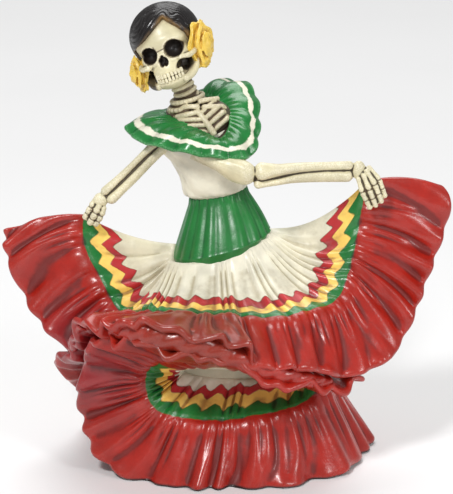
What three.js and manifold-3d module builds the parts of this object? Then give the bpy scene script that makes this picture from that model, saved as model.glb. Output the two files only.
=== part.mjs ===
// A painted resin figure of a dancing skeleton: a folk dancer who holds up both sides of a wide skirt.
// It is cast as one piece. The skirt's front is swept up between the hands. Its train falls to the floor
// behind, comes round to the front and curls up at the left into an open scoop.
// +X is to the viewer's right, -Y to the viewer, +Z up. The origin is on the floor, under the body.
import * as THREE from "three";
import { mergeVertices } from "three/addons/utils/BufferGeometryUtils.js";
import Module from "manifold-3d";

const wasm = await Module();
wasm.setup();

// Driving sizes, in millimetres.
const HEIGHT = 200; // floor to crown
const HEM_THICKNESS = 3.2; // the skirt's cloth at its hem
const ROLL_THICKNESS = 5.5; // the cloth where the rounded hem ends
const SEAM_THICKNESS = 7; // the cloth under the seam of the ruffle
const HIP_THICKNESS = 9; // the cloth where it leaves the body
const COLLAR_THICKNESS = 2.4;
const FOLD_WIDTH = 16; // one fold of the red ruffle, measured along its hem
const FOLD_DEPTH = 3.0; // crest to valley at the hem
const RIPPLE_DEPTH = 1.8; // how far the hem swings to either side of the plain sheet
const SCALLOP = 1.6; // how much further the hem reaches on a fold's crest than in its valley

// The figure is a free form, so its pose is given in shares of its height: 100 is the whole height.
const SHARE = HEIGHT / 100;
const place = ([x, y, z]) => new THREE.Vector3(x, y, z).multiplyScalar(SHARE);

// Shape of the folds
const STEPS_PER_FOLD = 3;
const SMALLEST_FACET = 0.42; // finer facets than this are merged away
const FOLDS_PER_RIPPLE = 2.5;

// Facets of the skull. The higher FACE_DETAIL is, the closer its columns stand in front.
const SKULL_ROWS = 16;
const SKULL_COLUMNS = 24;
const FACE_DETAIL = 1.5;
const CREASE = 0.25; // 0 makes a knife-sharp valley between two folds

// Where the folds begin and where the ruffle is sewn on, as shares of the way from the hip to the hem.
const FOLDS_BEGIN = 0.25;
const SEAM = 0.5;
const HEM_ROLL = 0.86;
const UPPER_SAG = [1.3, 3.4]; // how far the plain cloth hangs under a straight line, at its two ends
const TRAIN_SAG = [1, 0];
const TRAIN_SOLID = [0.16, 0.66]; // the share of the train's length that stands on the floor, solid inside
const SOLID_FADE = 0.05; // the share over which it thickens
const SOLID_DEPTH = 0.6; // how far the solid part reaches in, as a share of the way to the axis
const AXIS = [-1, -1]; // where the casting's solid middle is, in x and y

// The skirt's ribs, each a line down the cloth: where it leaves the hips, the ruffle's seam and the hem.
// The upper sheet runs from the hand on the viewer's left, across the front, to the other hand.
const UPPER_RIBS = [
  [[-11.0, 1.0, 46.6], [-31.0, -1.0, 53.8], [-48.7, 2.0, 49.2]],
  [[-11.2, -1.0, 46.1], [-30.6, -3.6, 47.6], [-47.4, -2.0, 43.9]],
  [[-11.6, -3.0, 45.3], [-27.7, -6.0, 41.9], [-43.6, -5.0, 35.3]],
  [[-11.9, -5.0, 43.8], [-23.2, -10.0, 35.1], [-35.3, -11.0, 27.7]],
  [[-11.7, -6.5, 44.1], [-18.2, -18.5, 36.9], [-30.4, -24.0, 36.5]],
  [[-9.3, -8.0, 44.3], [-13.9, -21.5, 37.6], [-23.2, -31.0, 39.2]],
  [[-5.7, -9.0, 45.3], [-8.2, -22.5, 38.2], [-12.9, -34.0, 39.7]],
  [[-2.2, -9.5, 46.1], [-2.0, -22.5, 38.2], [-2.5, -34.5, 36.5]],
  [[1.2, -9.5, 47.0], [4.5, -22.0, 37.6], [7.3, -33.0, 31.7]],
  [[4.2, -8.5, 48.2], [12.2, -20.5, 37.1], [16.4, -29.0, 27.9]],
  [[5.9, -7.5, 48.8], [17.6, -17.5, 37.5], [23.7, -24.5, 25.2]],
  [[7.2, -6.0, 49.5], [23.1, -13.0, 38.0], [31.7, -18.0, 24.7]],
  [[8.3, -4.0, 49.9], [25.7, -9.5, 41.9], [37.9, -13.5, 29.5]],
  [[9.0, -2.0, 50.2], [27.3, -6.5, 47.0], [43.1, -8.5, 41.8]],
  [[8.9, 0.6, 50.0], [28.6, -5.0, 54.0], [47.6, -4.4, 53.4]],
  [[8.6, 2.0, 49.8], [30.0, -3.4, 61.0], [47.4, -1.0, 60.0]],
];
// The train starts under the upper sheet's left end, goes down and round behind, comes forward along the
// floor and curls up at the left, so that its lip ends under the wing on the viewer's right.
const TRAIN_RIBS = [
  [[-9.0, -1.0, 43.0], [-22.6, -15.0, 32.6], [-30.6, -22.5, 35.3]],
  [[-9.5, 1.0, 43.0], [-24.8, -8.0, 27.5], [-33.7, -13.0, 27.0]],
  [[-10.0, 3.0, 44.0], [-26.1, -1.0, 21.5], [-37.4, -3.0, 20.7]],
  [[-9.8, 5.0, 45.0], [-22.0, 8.0, 20.0], [-33.5, 5.0, 12.0]],
  [[-7.0, 7.2, 46.0], [-17.5, 14.0, 17.5], [-28.0, 14.0, 0.6]],
  [[-1.0, 8.4, 46.6], [0.0, 17.5, 17.0], [0.0, 23.0, 0.0]],
  [[5.6, 6.2, 47.0], [15.5, 13.5, 17.5], [25.0, 15.0, 0.0]],
  [[9.0, 2.0, 45.0], [21.0, 3.5, 18.5], [32.4, 1.5, 0.2]],
  [[14.0, -6.0, 33.0], [20.8, -9.5, 18.0], [28.8, -11.5, 0.8]],
  [[15.0, -10.0, 21.0], [15.9, -16.0, 15.8], [23.3, -19.5, 0.6]],
  [[9.0, -12.0, 19.5], [7.6, -18.5, 14.3], [12.4, -24.5, 0.0]],
  [[0.0, -12.0, 20.0], [-2.5, -19.0, 13.1], [-4.6, -26.0, 0.0]],
  [[-6.0, -12.0, 20.5], [-12.5, -19.0, 14.3], [-20.2, -21.0, 0.2]],
  [[-9.0, -12.0, 21.0], [-15.9, -18.5, 16.3], [-29.5, -14.0, 5.5]],
  [[-10.0, -12.0, 21.3], [-17.1, -18.0, 19.8], [-32.6, -11.0, 12.7]],
  [[-9.5, -12.0, 21.7], [-16.9, -18.5, 23.1], [-30.5, -17.0, 24.4]],
  [[-9.0, -12.0, 22.0], [-15.1, -20.0, 25.9], [-27.7, -25.0, 33.3]],
  [[-6.0, -12.0, 22.3], [-11.4, -21.5, 28.2], [-20.2, -31.0, 35.7]],
  [[-1.0, -12.0, 22.0], [-4.5, -22.5, 28.5], [-9.5, -33.5, 34.4]],
  [[5.0, -12.0, 21.5], [3.9, -22.0, 27.0], [2.8, -33.0, 30.4]],
  [[11.0, -12.0, 20.5], [11.3, -19.5, 23.9], [13.5, -29.5, 25.2]],
  [[15.5, -11.0, 19.5], [17.4, -16.5, 20.4], [22.8, -24.0, 21.7]],
  [[17.0, -9.0, 21.0], [21.3, -11.0, 19.1], [29.7, -17.0, 22.1]],
];

// The solid core behind the skirt, from the floor up: middle x and y, height, half width and half depth.
const CORE = [
  [0, -1.2, 0, 27, 21],
  [0, -1.2, 0.6, 27.3, 21.3],
  [-1, 0.5, 6, 25, 18.5],
  [-1.5, 2.0, 13, 21, 15.5],
  [-2, 2.0, 20, 19, 14],
  [-2, 0, 26, 19, 13.5],
  [-1, -4.0, 32, 19, 16],
  [-1, -4.0, 37, 16, 13],
  [-1, -1.5, 42, 11, 9.5],
  [-1, 0, 50, 7, 6],
];

// Rings round the body, from the hip up: middle x and y, height, half width, half depth, lean in degrees.
const YOKE = [
  [-1.2, -0.8, 43, 9.2, 8.4, 13],
  [-1.2, -0.8, 46.9, 10.8, 9.6, 15],
  [-1.2, -0.8, 48.0, 10.6, 9.4, 15],
  [-1.3, -0.6, 51.5, 9.2, 7.9, 14],
  [-1.5, -0.3, 55, 7.6, 6.3, 12],
  [-1.8, 0, 57.6, 6.3, 5.2, 10],
  [-1.9, 0, 59.4, 6.0, 5.0, 8],
];
const BODICE = [
  [-2.2, 0, 56.8, 5.6, 4.6, 8],
  [-2.4, -0.2, 57.8, 6.9, 5.7, 8],
  [-2.6, -0.4, 59.6, 7.4, 6.2, 8],
  [-3.0, -0.6, 63, 7.3, 6.3, 10],
  [-3.9, -0.6, 67, 8.0, 6.6, 13],
  [-5.0, -0.4, 71, 9.2, 6.6, 17],
  [-5.2, 0.8, 75.5, 7.4, 5.0, 20],
];
const CHEST = { middle: [-5.2, -1.2, 73.4], size: [7.6, 6.4, 4.6], lean: 20 };
// Pairs of ribs beside the breastbone, from the top down: x and z at the breastbone.
const BREASTBONE = [[-5.9, -5.6, 77.2], [-4.2, -6.9, 75.2], [-2.4, -7.6, 72.6]];
const RIB_PAIRS = 3;
const RIB_REACH = 3.6;
const PLUG_DEPTHS = [14, 2.5]; // how far under the neckline the solid shoulders begin and end

// The collar's ribs from neckline to edge, from the front round by the viewer's right.
const COLLAR_RIBS = [
  [[-1.2, -8.8, 72.1], [-0.1, -12.6, 69.0]],
  [[0.9, -6.5, 74.2], [5.0, -10.0, 69.2]],
  [[0.7, -2.5, 76.3], [6.5, -3.6, 73.4]],
  [[-1.6, 2.5, 78.1], [5.3, 5.0, 79.0]],
  [[-4.5, 5.0, 78.6], [-1.0, 11.0, 80.7]],
  [[-9.0, 4.6, 77.0], [-10.0, 10.6, 77.5]],
  [[-11.6, 1.4, 75.6], [-18.4, 5.2, 74.3]],
  [[-11.2, -2.5, 75.4], [-21.2, -0.5, 72.2]],
  [[-9.0, -6.0, 74.9], [-17.5, -6.8, 71.1]],
  [[-5.0, -8.2, 73.4], [-8.5, -11.8, 70.1]],
];
const COLLAR_FOLDS = 15;
const COLLAR_FOLD_DEPTH = 1.2;
const COLLAR_RISE = 1.3; // how far the collar stands over the straight line from neckline to edge

// Bones: each is a path with a radius at each of its points.
const NECK = {
  path: [[-5.6, 0.8, 74.0], [-6.4, 0.2, 77.0], [-8.2, -0.6, 81.0], [-11.2, 0.4, 86.0]],
  radius: 2.4,
};
const VERTEBRAE = 6;
const ARMS = [
  { path: [[-6.4, -8.5, 70.0], [-0.3, -11.0, 67.4], [5.3, -13.0, 65.2]], radii: [1.7, 2.1, 2.4, 1.7] },
  {
    path: [[6.3, -13.2, 65.8], [10.1, -12.5, 65.9], [18.6, -10.0, 66.0], [26.6, -7.0, 65.6]],
    radii: [1.8, 1.6, 1.1, 1.4],
  },
  {
    path: [[5.8, -12.8, 63.0], [10.2, -12.0, 63.3], [18.7, -9.6, 64.0], [26.6, -6.8, 63.5]],
    radii: [1.1, 1.2, 1.1, 1.3],
  },
  {
    path: [[-12.6, -2.5, 71.5], [-14.4, -3.8, 68.8], [-19.2, -4.4, 63.8], [-25.6, -4.5, 57.7]],
    radii: [2.2, 1.4, 1.0, 1.3],
  },
  {
    path: [[-11.6, -2.5, 70.0], [-13.4, -3.5, 67.2], [-18.2, -4.0, 62.2], [-25.0, -4.2, 56.6]],
    radii: [2.2, 1.2, 1.0, 1.3],
  },
];
const HANDS = [
  {
    wrist: [27.4, -7.0, 64.4],
    knuckles: [29.6, -8.2, 62.4],
    size: 1.9,
    tips: [[29.6, -8.7, 57.0], [30.9, -8.6, 57.6], [32.0, -8.0, 58.6], [32.9, -7.0, 59.6]],
  },
  {
    wrist: [-25.0, -4.4, 57.6],
    knuckles: [-28.2, -4.2, 54.8],
    size: 1.8,
    tips: [[-31.0, -3.2, 53.4], [-30.2, -4.0, 52.2], [-28.8, -4.2, 51.2], [-27.2, -3.8, 51.4]],
  },
];

// The head, in shares of the height from its own middle: +X to its left side, -Y out of the face.
const HEAD = { middle: [-12.4, -0.6, 89.4], roll: 20, turn: -9, nod: 6 };
const SKULL_HEART = [0, -1, 0];
const SKULL = [
  { middle: [0, 1.4, 3.0], size: [6.8, 7.6, 6.3] },
  { middle: [0, -3.5, 2.5], size: [5.5, 3.2, 2.4] },
  { middle: [0, -2.8, -0.8], size: [5.4, 4.2, 3.2] },
  { middle: [0, -4.4, -3.6], size: [3.4, 3.1, 2.8] },
  { middle: [0, -3.0, -6.0], size: [4.2, 4.2, 2.0] },
];
const HOLLOW_CHEEKS = [
  { at: [-4.7, -4.4, -4.1], radius: 1.5, depth: 1.4 },
  { at: [4.7, -4.4, -4.1], radius: 1.5, depth: 1.4 },
];
const SOCKETS = [
  { middle: [-2.75, -6.0, 0.5], size: [1.75, 2.6, 1.75] },
  { middle: [2.75, -6.0, 0.5], size: [1.85, 2.6, 1.85] },
  { middle: [0, -7.0, -1.4], size: [0.85, 1.5, 1.15] },
];
const CHEEKBONE = { path: [[3.6, -6.0, -1.9], [5.4, -4.4, -2.1], [6.4, -1.5, -1.3]], radius: 0.78 };
const TEETH = {
  path: [[-3.0, -5.9, -4.2], [0, -7.4, -4.2], [3.0, -5.9, -4.2]],
  radius: 0.62,
  count: 7,
  gap: 1.15,
};
const HAIR = { middle: [0.2, 1.4, 3.4], size: [7.5, 8.2, 7.5] };
const BUN = { middle: [0, 8.8, -1.4], size: [3.8, 2.8, 3.4] };
// The forehead's outline in the hair, seen from the front, and how far back it is cut.
const HAIRLINE = [
  ...[[-8, 1.8], [-5.3, 2.5], [-3.5, 3.4], [-0.8, 5.1], [2.5, 7.3]],
  ...[[4.9, 4.6], [6.0, 2.5], [6.3, 0.5], [8, -1.5]],
];
const HAIRLINE_DEPTH = -2.6;
const FLOWERS = [
  { middle: [8.0, -0.8, -1.6], size: [2.2, 3.9, 4.8], lean: 15 },
  { middle: [-6.9, -2.2, -2.5], size: [2.0, 3.4, 4.2], lean: 12 },
];
const PETALS = 6;
const STEPS_PER_PETAL = 3;
const PETAL_NOTCH = 0.3;
const FLOWER_RINGS = [[-1, 0.7], [-0.4, 1], [0.3, 0.95], [0.5, 0.55], [1, 0.45]];

// A closed surface as a solid.
function solid(geometry) {
  const bare = geometry.index ? geometry.toNonIndexed() : geometry;
  bare.deleteAttribute("normal");
  bare.deleteAttribute("uv");
  const merged = mergeVertices(bare, 1e-4);
  const vertProperties = Float32Array.from(merged.attributes.position.array);
  const triVerts = Uint32Array.from(merged.index.array);
  return new wasm.Manifold(new wasm.Mesh({ numProp: 3, vertProperties, triVerts }));
}

function geometryOf(made) {
  const { numProp, numVert, vertProperties, triVerts } = made.getMesh();
  const positions = new Float32Array(numVert * 3);
  for (let i = 0; i < numVert; i++) {
    positions.set(vertProperties.subarray(i * numProp, i * numProp + 3), i * 3);
  }
  return new THREE.BufferGeometry()
    .setAttribute("position", new THREE.BufferAttribute(positions, 3))
    .setIndex(new THREE.BufferAttribute(triVerts, 1));
}

// Points joined into a surface by triangles of their numbers.
function facesOf(points, triangles) {
  return new THREE.BufferGeometry().setFromPoints(points).setIndex(triangles);
}

// A smooth curve through points in shares.
function curveOf(points, closed = false) {
  return new THREE.CatmullRomCurve3(points.map(place), closed, "catmullrom", 0.5);
}

// A closed skin over rings of points, with a point at each end to close it.
function skin(rings) {
  const count = rings[0].length;
  const middle = (ring) => ring.reduce((sum, p) => sum.add(p), new THREE.Vector3()).divideScalar(count);
  const points = [...rings.flat(), middle(rings[0]), middle(rings[rings.length - 1])];
  const foot = rings.length * count;
  const triangles = [];
  for (let j = 0; j < count; j++) {
    const k = (j + 1) % count;
    for (let i = 0; i + 1 < rings.length; i++) {
      const [a, b, c, d] = [i * count + j, i * count + k, (i + 1) * count + k, (i + 1) * count + j];
      triangles.push(a, b, c, a, c, d);
    }
    const last = (rings.length - 1) * count;
    triangles.push(foot, k, j, foot + 1, last + j, last + k);
  }
  return solid(facesOf(points, triangles));
}

// An elliptic ring that leans to the viewer's left by an angle.
function ring([x, y, z, halfWidth, halfDepth, lean = 0], sides, folds = 0, depth = 0) {
  const tilt = THREE.MathUtils.degToRad(lean);
  return Array.from({ length: sides }, (_, j) => {
    const angle = (2 * Math.PI * j) / sides;
    const wave = 1 + depth * Math.cos(folds * angle);
    const across = halfWidth * wave * Math.cos(angle);
    const back = halfDepth * wave * Math.sin(angle);
    return place([x + across * Math.cos(tilt), y + back, z + across * Math.sin(tilt)]);
  });
}

// A tube with a radius at each point of its path and closed, tapered ends.
function tube(path, radii, sides, steps) {
  const curve = curveOf(path);
  const rings = [];
  for (let i = 0; i <= steps; i++) {
    const u = i / steps;
    const at = u * (radii.length - 1);
    const low = Math.min(Math.floor(at), radii.length - 2);
    const radius = SHARE * THREE.MathUtils.lerp(radii[low], radii[low + 1], at - low);
    const along = curve.getTangent(u);
    const upright = Math.abs(along.z) > 0.9 ? new THREE.Vector3(0, 1, 0) : new THREE.Vector3(0, 0, 1);
    const side = along.clone().cross(upright).setLength(radius);
    const up = along.clone().cross(side);
    rings.push(
      Array.from({ length: sides }, (_, j) => {
        const angle = (2 * Math.PI * j) / sides;
        const point = curve.getPoint(u).addScaledVector(side, Math.cos(angle));
        return point.addScaledVector(up, Math.sin(angle));
      }),
    );
  }
  return skin(rings);
}

function ellipsoid({ middle, size }, detail = 14) {
  const shape = new THREE.SphereGeometry(1, detail, Math.round(detail * 0.7));
  shape.scale(...size.map((s) => s * SHARE));
  shape.translate(...middle.map((m) => m * SHARE));
  return solid(shape);
}

const join = (parts) => parts.reduce((whole, part) => whole.add(part));

// 1 on the crest of a fold and near 0 in the valley between two.
const crest = (turns) => Math.hypot(Math.sin(Math.PI * turns), CREASE) / Math.hypot(1, CREASE);

// A folded sheet of cloth, given by its ribs. out is 1 or -1, for the side of the ribs that shows.
function sheet(ribs, sag, solidFrom, solidTo, out) {
  const [hips, seams, hems] = [0, 1, 2].map((row) => curveOf(ribs.map((rib) => rib[row])));
  const columns = Math.round(hems.getLength() / FOLD_WIDTH) * STEPS_PER_FOLD;
  const rows = [0, FOLDS_BEGIN, SEAM, HEM_ROLL, 1];
  const thicknesses = [HIP_THICKNESS, SEAM_THICKNESS, SEAM_THICKNESS, ROLL_THICKNESS, HEM_THICKNESS];

  // The sheet without its folds: it sags from hip to seam, and the ruffle runs straight to the hem.
  const plain = (u, t) => {
    if (t > SEAM) return seams.getPoint(u).lerp(hems.getPoint(u), (t - SEAM) / (1 - SEAM));
    const down = t / SEAM;
    const point = hips.getPoint(u).lerp(seams.getPoint(u), down);
    point.z -= SHARE * THREE.MathUtils.lerp(...sag, u) * 4 * down * (1 - down);
    return point;
  };
  const outward = (u, t) => {
    const [low, high] = [Math.max(u - 0.004, 0), Math.min(u + 0.004, 1)];
    const [above, below] = [Math.max(t - 0.06, 0), Math.min(t + 0.06, 1)];
    const along = plain(high, t).sub(plain(low, t));
    const down = plain(u, below).sub(plain(u, above));
    return along.cross(down).normalize().multiplyScalar(out);
  };
  const front = [];
  const back = [];
  for (let i = 0; i <= columns; i++) {
    const u = hems.getUtoTmapping(i / columns);
    const folds = i / STEPS_PER_FOLD;
    rows.forEach((t, row) => {
      const normal = outward(u, t);
      const fullness = Math.max(0, (t - FOLDS_BEGIN) / (1 - FOLDS_BEGIN));
      const ripple = RIPPLE_DEPTH * fullness ** 2 * Math.sin((2 * Math.PI * folds) / FOLDS_PER_RIPPLE);
      const fold = FOLD_DEPTH * fullness * (crest(folds) - 0.6);
      const point = plain(u, t).addScaledVector(normal, ripple + fold);
      const reach = seams.getPoint(u).sub(hems.getPoint(u)).normalize();
      point.addScaledVector(reach, -SCALLOP * fullness ** 4 * (crest(folds) - 0.6));
      const inner = point.clone().addScaledVector(normal, -thicknesses[row]);
      const begun = THREE.MathUtils.smoothstep(u, solidFrom, solidFrom + SOLID_FADE);
      const ended = THREE.MathUtils.smoothstep(u, solidTo, solidTo + SOLID_FADE);
      const deep = point.clone().lerp(place([...AXIS, point.z / SHARE]), SOLID_DEPTH);
      inner.lerp(deep, begun - ended);
      point.z = Math.max(point.z, 0);
      inner.z = Math.max(inner.z, 0);
      front.push(point);
      back.push(inner);
    });
  }
  return { front, back, columns, rows: rows.length };
}

// Closes a sheet's two faces round its edges.
function slab({ front, back, columns, rows }, out) {
  const points = [...front, ...back];
  const behind = front.length;
  const triangles = [];
  const face = (a, b, c, d) => triangles.push(...(out > 0 ? [a, b, c, a, c, d] : [a, c, b, a, d, c]));
  for (let i = 0; i < columns; i++) {
    const [top, next] = [i * rows, (i + 1) * rows];
    const [hem, nextHem] = [top + rows - 1, next + rows - 1];
    for (let j = 0; j + 1 < rows; j++) {
      const [a, b, c, d] = [top + j, next + j, next + j + 1, top + j + 1];
      face(a, b, c, d);
      face(d + behind, c + behind, b + behind, a + behind);
    }
    face(top, top + behind, next + behind, next);
    face(nextHem, nextHem + behind, hem + behind, hem);
  }
  for (let j = 0; j + 1 < rows; j++) {
    face(j + 1, j + 1 + behind, j + behind, j);
    const last = columns * rows + j;
    face(last, last + behind, last + 1 + behind, last + 1);
  }
  return solid(facesOf(points, triangles));
}

function skirt() {
  return [
    slab(sheet(UPPER_RIBS, UPPER_SAG, 1, 1, -1), -1),
    slab(sheet(TRAIN_RIBS, TRAIN_SAG, ...TRAIN_SOLID, 1), 1),
    skin(CORE.map((row) => ring(row, 20))),
    skin(YOKE.map((row, i) => ring(row, 28, 14, i > 0 && i < 5 ? 0.025 : 0))),
  ];
}

// How far the skull reaches from its heart in one direction, less its hollow cheeks.
function skullReach(heading) {
  const heart = new THREE.Vector3(...SKULL_HEART);
  const reaches = SKULL.map(({ middle, size }) => {
    const scale = new THREE.Vector3(...size);
    const from = heart.clone().sub(new THREE.Vector3(...middle)).divide(scale);
    const along = heading.clone().divide(scale);
    const [a, b, c] = [along.lengthSq(), from.dot(along), from.lengthSq() - 1];
    const inside = b * b - a * c;
    return inside < 0 ? 0 : (Math.sqrt(inside) - b) / a;
  });
  const reach = Math.max(...reaches);
  return HOLLOW_CHEEKS.reduce((left, { at, radius, depth }) => {
    const centre = new THREE.Vector3(...at).sub(heart);
    const away = heading.clone().multiplyScalar(centre.length()).distanceTo(centre) / radius;
    return left - depth * Math.exp(-(away ** 6));
  }, reach);
}

// The skull as rings from chin to crown, with its facets closest together on the face.
function skull() {
  const heart = new THREE.Vector3(...SKULL_HEART);
  const rings = [];
  for (let i = 1; i < SKULL_ROWS; i++) {
    const up = Math.PI * (i / SKULL_ROWS - 0.5);
    rings.push(
      Array.from({ length: SKULL_COLUMNS }, (_, j) => {
        const side = (2 * j) / SKULL_COLUMNS - 1;
        const around = Math.PI * Math.sign(side) * Math.abs(side) ** FACE_DETAIL;
        const level = new THREE.Vector3(Math.sin(around), -Math.cos(around), Math.tan(up));
        const heading = level.normalize();
        const point = heading.clone().multiplyScalar(skullReach(heading)).add(heart);
        return place(point.toArray());
      }),
    );
  }
  return skin(rings).subtract(join(SOCKETS.map((socket) => ellipsoid(socket, 10))));
}

function hair() {
  const cap = join([ellipsoid(HAIR, 14), ellipsoid(BUN, 8)]);
  const outline = [...HAIRLINE, [8, -12], [-8, -12]];
  const forehead = new THREE.Shape(outline.map(([x, z]) => new THREE.Vector2(x, z)));
  const cut = new THREE.ExtrudeGeometry(forehead, { depth: 10, bevelEnabled: false });
  cut.rotateX(Math.PI / 2);
  cut.translate(0, HAIRLINE_DEPTH, 0);
  cut.scale(SHARE, SHARE, SHARE);
  return cap.subtract(solid(cut));
}

// A flower that faces away from the head. Each of its rings is a depth and a share of the whole width.
function flower({ middle, size, lean }) {
  const sides = PETALS * STEPS_PER_PETAL;
  const rings = FLOWER_RINGS.map(([depth, width]) => {
    return Array.from({ length: sides }, (_, j) => {
      const angle = (2 * Math.PI * j) / sides;
      const lobe = width * (1 - PETAL_NOTCH * (1 - crest(j / STEPS_PER_PETAL)));
      return place([size[0] * depth, size[1] * lobe * Math.cos(angle), size[2] * lobe * Math.sin(angle)]);
    });
  });
  return skin(rings).rotate([0, lean, 0]).translate(place(middle).toArray());
}

function head() {
  const cheekbones = [1, -1].map((side) => {
    const path = CHEEKBONE.path.map(([x, y, z]) => [side * x, y, z]);
    return tube(path, [CHEEKBONE.radius, CHEEKBONE.radius * 1.1, CHEEKBONE.radius], 5, 3);
  });
  const beads = Array.from({ length: 2 * TEETH.count + 1 }, (_, i) => TEETH.radius * (i % 2 ? 1 : 0.7));
  const teeth = [0, 1].map((row) => {
    const path = TEETH.path.map(([x, y, z]) => [x, y, z - row * TEETH.gap]);
    return tube(path, beads, 5, 2 * TEETH.count);
  });
  const whole = join([skull(), hair(), ...cheekbones, ...teeth, ...FLOWERS.map(flower)]);
  const { middle, roll, turn, nod } = HEAD;
  const angles = [-nod, -roll, turn].map((angle) => THREE.MathUtils.degToRad(angle));
  const pose = new THREE.Matrix4().makeRotationFromEuler(new THREE.Euler(...angles, "YXZ"));
  return solid(geometryOf(whole).applyMatrix4(pose.setPosition(place(middle))));
}

// The ruffled collar: a closed band of cloth round the shoulders.
function collar() {
  const [necklines, edges] = [0, 1].map((row) => curveOf(COLLAR_RIBS.map((rib) => rib[row]), true));
  const columns = COLLAR_FOLDS * STEPS_PER_FOLD;
  const rows = [0, 0.35, 0.7, 1];
  const rings = Array.from({ length: columns }, (_, i) => {
    const u = edges.getUtoTmapping(i / columns);
    const [from, to] = [necklines.getPoint(u), edges.getPoint(u)];
    const normal = edges.getTangent(u).cross(from.clone().sub(to)).normalize();
    const face = rows.map((t) => {
      const fold = COLLAR_FOLD_DEPTH * t * crest(i / STEPS_PER_FOLD);
      const rise = SHARE * COLLAR_RISE * Math.sin(Math.PI * t) + fold;
      return from.clone().lerp(to, t).addScaledVector(normal, rise);
    });
    const under = face.map((p) => p.clone().addScaledVector(normal, -COLLAR_THICKNESS)).reverse();
    return [...face, ...under];
  });
  const count = rings[0].length;
  const triangles = [];
  for (let i = 0; i < columns; i++) {
    const next = (i + 1) % columns;
    for (let j = 0; j < count; j++) {
      const k = (j + 1) % count;
      const [a, b, c, d] = [i * count + j, next * count + j, next * count + k, i * count + k];
      triangles.push(a, c, b, a, d, c);
    }
  }
  return solid(facesOf(rings.flat(), triangles));
}

function bones() {
  const parts = ARMS.map(({ path, radii }) => tube(path, radii, 7, 5));
  for (const { wrist, knuckles, size, tips } of HANDS) {
    parts.push(tube([wrist, knuckles], [size * 0.8, size], 7, 2));
    for (const tip of tips) {
      const bend = knuckles.map((k, axis) => k * 0.4 + tip[axis] * 0.6 - (axis === 1 ? 0.6 : 0));
      parts.push(tube([knuckles, bend, tip], [0.8, 0.75, 0.6], 5, 2));
    }
  }
  const steps = VERTEBRAE * 2;
  const radii = Array.from({ length: steps + 1 }, (_, i) => NECK.radius * (i % 2 ? 1 : 0.8));
  parts.push(tube(NECK.path, radii, 9, steps));
  return parts;
}

function torso() {
  const { middle, size, lean } = CHEST;
  const ribs = new THREE.SphereGeometry(1, 12, 8);
  ribs.scale(...size.map((s) => s * SHARE));
  ribs.rotateY(THREE.MathUtils.degToRad(-lean));
  ribs.translate(...middle.map((m) => m * SHARE));
  const breastbone = curveOf(BREASTBONE);
  const cage = Array.from({ length: RIB_PAIRS * 2 }, (_, i) => {
    const side = i % 2 ? RIB_REACH : -RIB_REACH;
    const from = breastbone.getPoint((Math.floor(i / 2) + 0.4) / RIB_PAIRS).divideScalar(SHARE);
    const out = (share, back) => [from.x + side * share, from.y + back, from.z + 0.12 * side * share];
    return tube([out(0, 0.3), out(0.55, 0.5), out(1, 1.8)], [0.55, 0.55, 0.55], 5, 3);
  });
  const necklines = curveOf(COLLAR_RIBS.map((rib) => rib[0]), true);
  const plug = PLUG_DEPTHS.map((depth) => {
    return necklines.getPoints(16).slice(1).map((point) => point.setZ(point.z - depth));
  });
  return [
    skin(plug),
    skin(BODICE.map((row) => ring(row, 18))),
    solid(ribs),
    tube(BREASTBONE, [0.7, 0.9, 0.7], 6, 3),
    ...cage,
  ];
}

// The whole casting. What is sealed inside it is resin too.
function casting() {
  const whole = join([...skirt(), ...torso(), collar(), ...bones(), head()]).simplify(SMALLEST_FACET);
  const pieces = whole.decompose();
  return geometryOf(pieces.reduce((most, piece) => (piece.volume() > most.volume() ? piece : most)));
}

const paintedResin = new THREE.MeshStandardMaterial({ color: 0xb02a22, roughness: 0.4, metalness: 0 });
const dancer = new THREE.Mesh(casting(), paintedResin);
dancer.name = "dancer_figure";

const figure = new THREE.Group();
figure.add(dancer);
export default figure;
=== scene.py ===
"""A hand-painted resin figure of a dancing skeleton who holds out both sides of a wide ruffled skirt.

The figure's forms are given in shares, which are hundredths of its height. +X is to the viewer's right,
-Y to the viewer and +Z up. Settings and the constants whose comments say so are in metres.
"""

import math

import bpy
import numpy as np
from bpy.props import FloatProperty, FloatVectorProperty, IntProperty, PointerProperty
from bpy.types import Operator, Panel, PropertyGroup
from mathutils import Euler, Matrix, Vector


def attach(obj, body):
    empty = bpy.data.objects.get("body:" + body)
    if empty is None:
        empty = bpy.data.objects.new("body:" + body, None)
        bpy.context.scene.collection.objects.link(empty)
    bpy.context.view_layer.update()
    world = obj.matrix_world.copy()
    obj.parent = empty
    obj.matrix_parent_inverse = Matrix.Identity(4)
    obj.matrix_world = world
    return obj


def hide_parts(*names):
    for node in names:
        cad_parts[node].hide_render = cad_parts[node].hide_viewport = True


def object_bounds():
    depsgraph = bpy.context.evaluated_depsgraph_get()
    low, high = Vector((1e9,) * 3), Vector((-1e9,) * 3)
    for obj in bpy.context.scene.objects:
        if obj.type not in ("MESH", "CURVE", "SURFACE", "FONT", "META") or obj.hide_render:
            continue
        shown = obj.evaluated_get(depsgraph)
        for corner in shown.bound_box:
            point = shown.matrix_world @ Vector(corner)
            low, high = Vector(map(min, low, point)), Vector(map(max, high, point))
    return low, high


bl_info = {
    "name": "Skeleton dancer figure",
    "version": (1, 0, 0),
    "blender": (4, 5, 0),
    "location": "View3D > Sidebar > Dancer",
    "description": "Builds a hand-painted resin figure of a dancing skeleton in a wide ruffled skirt",
    "category": "Object",
}

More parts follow.
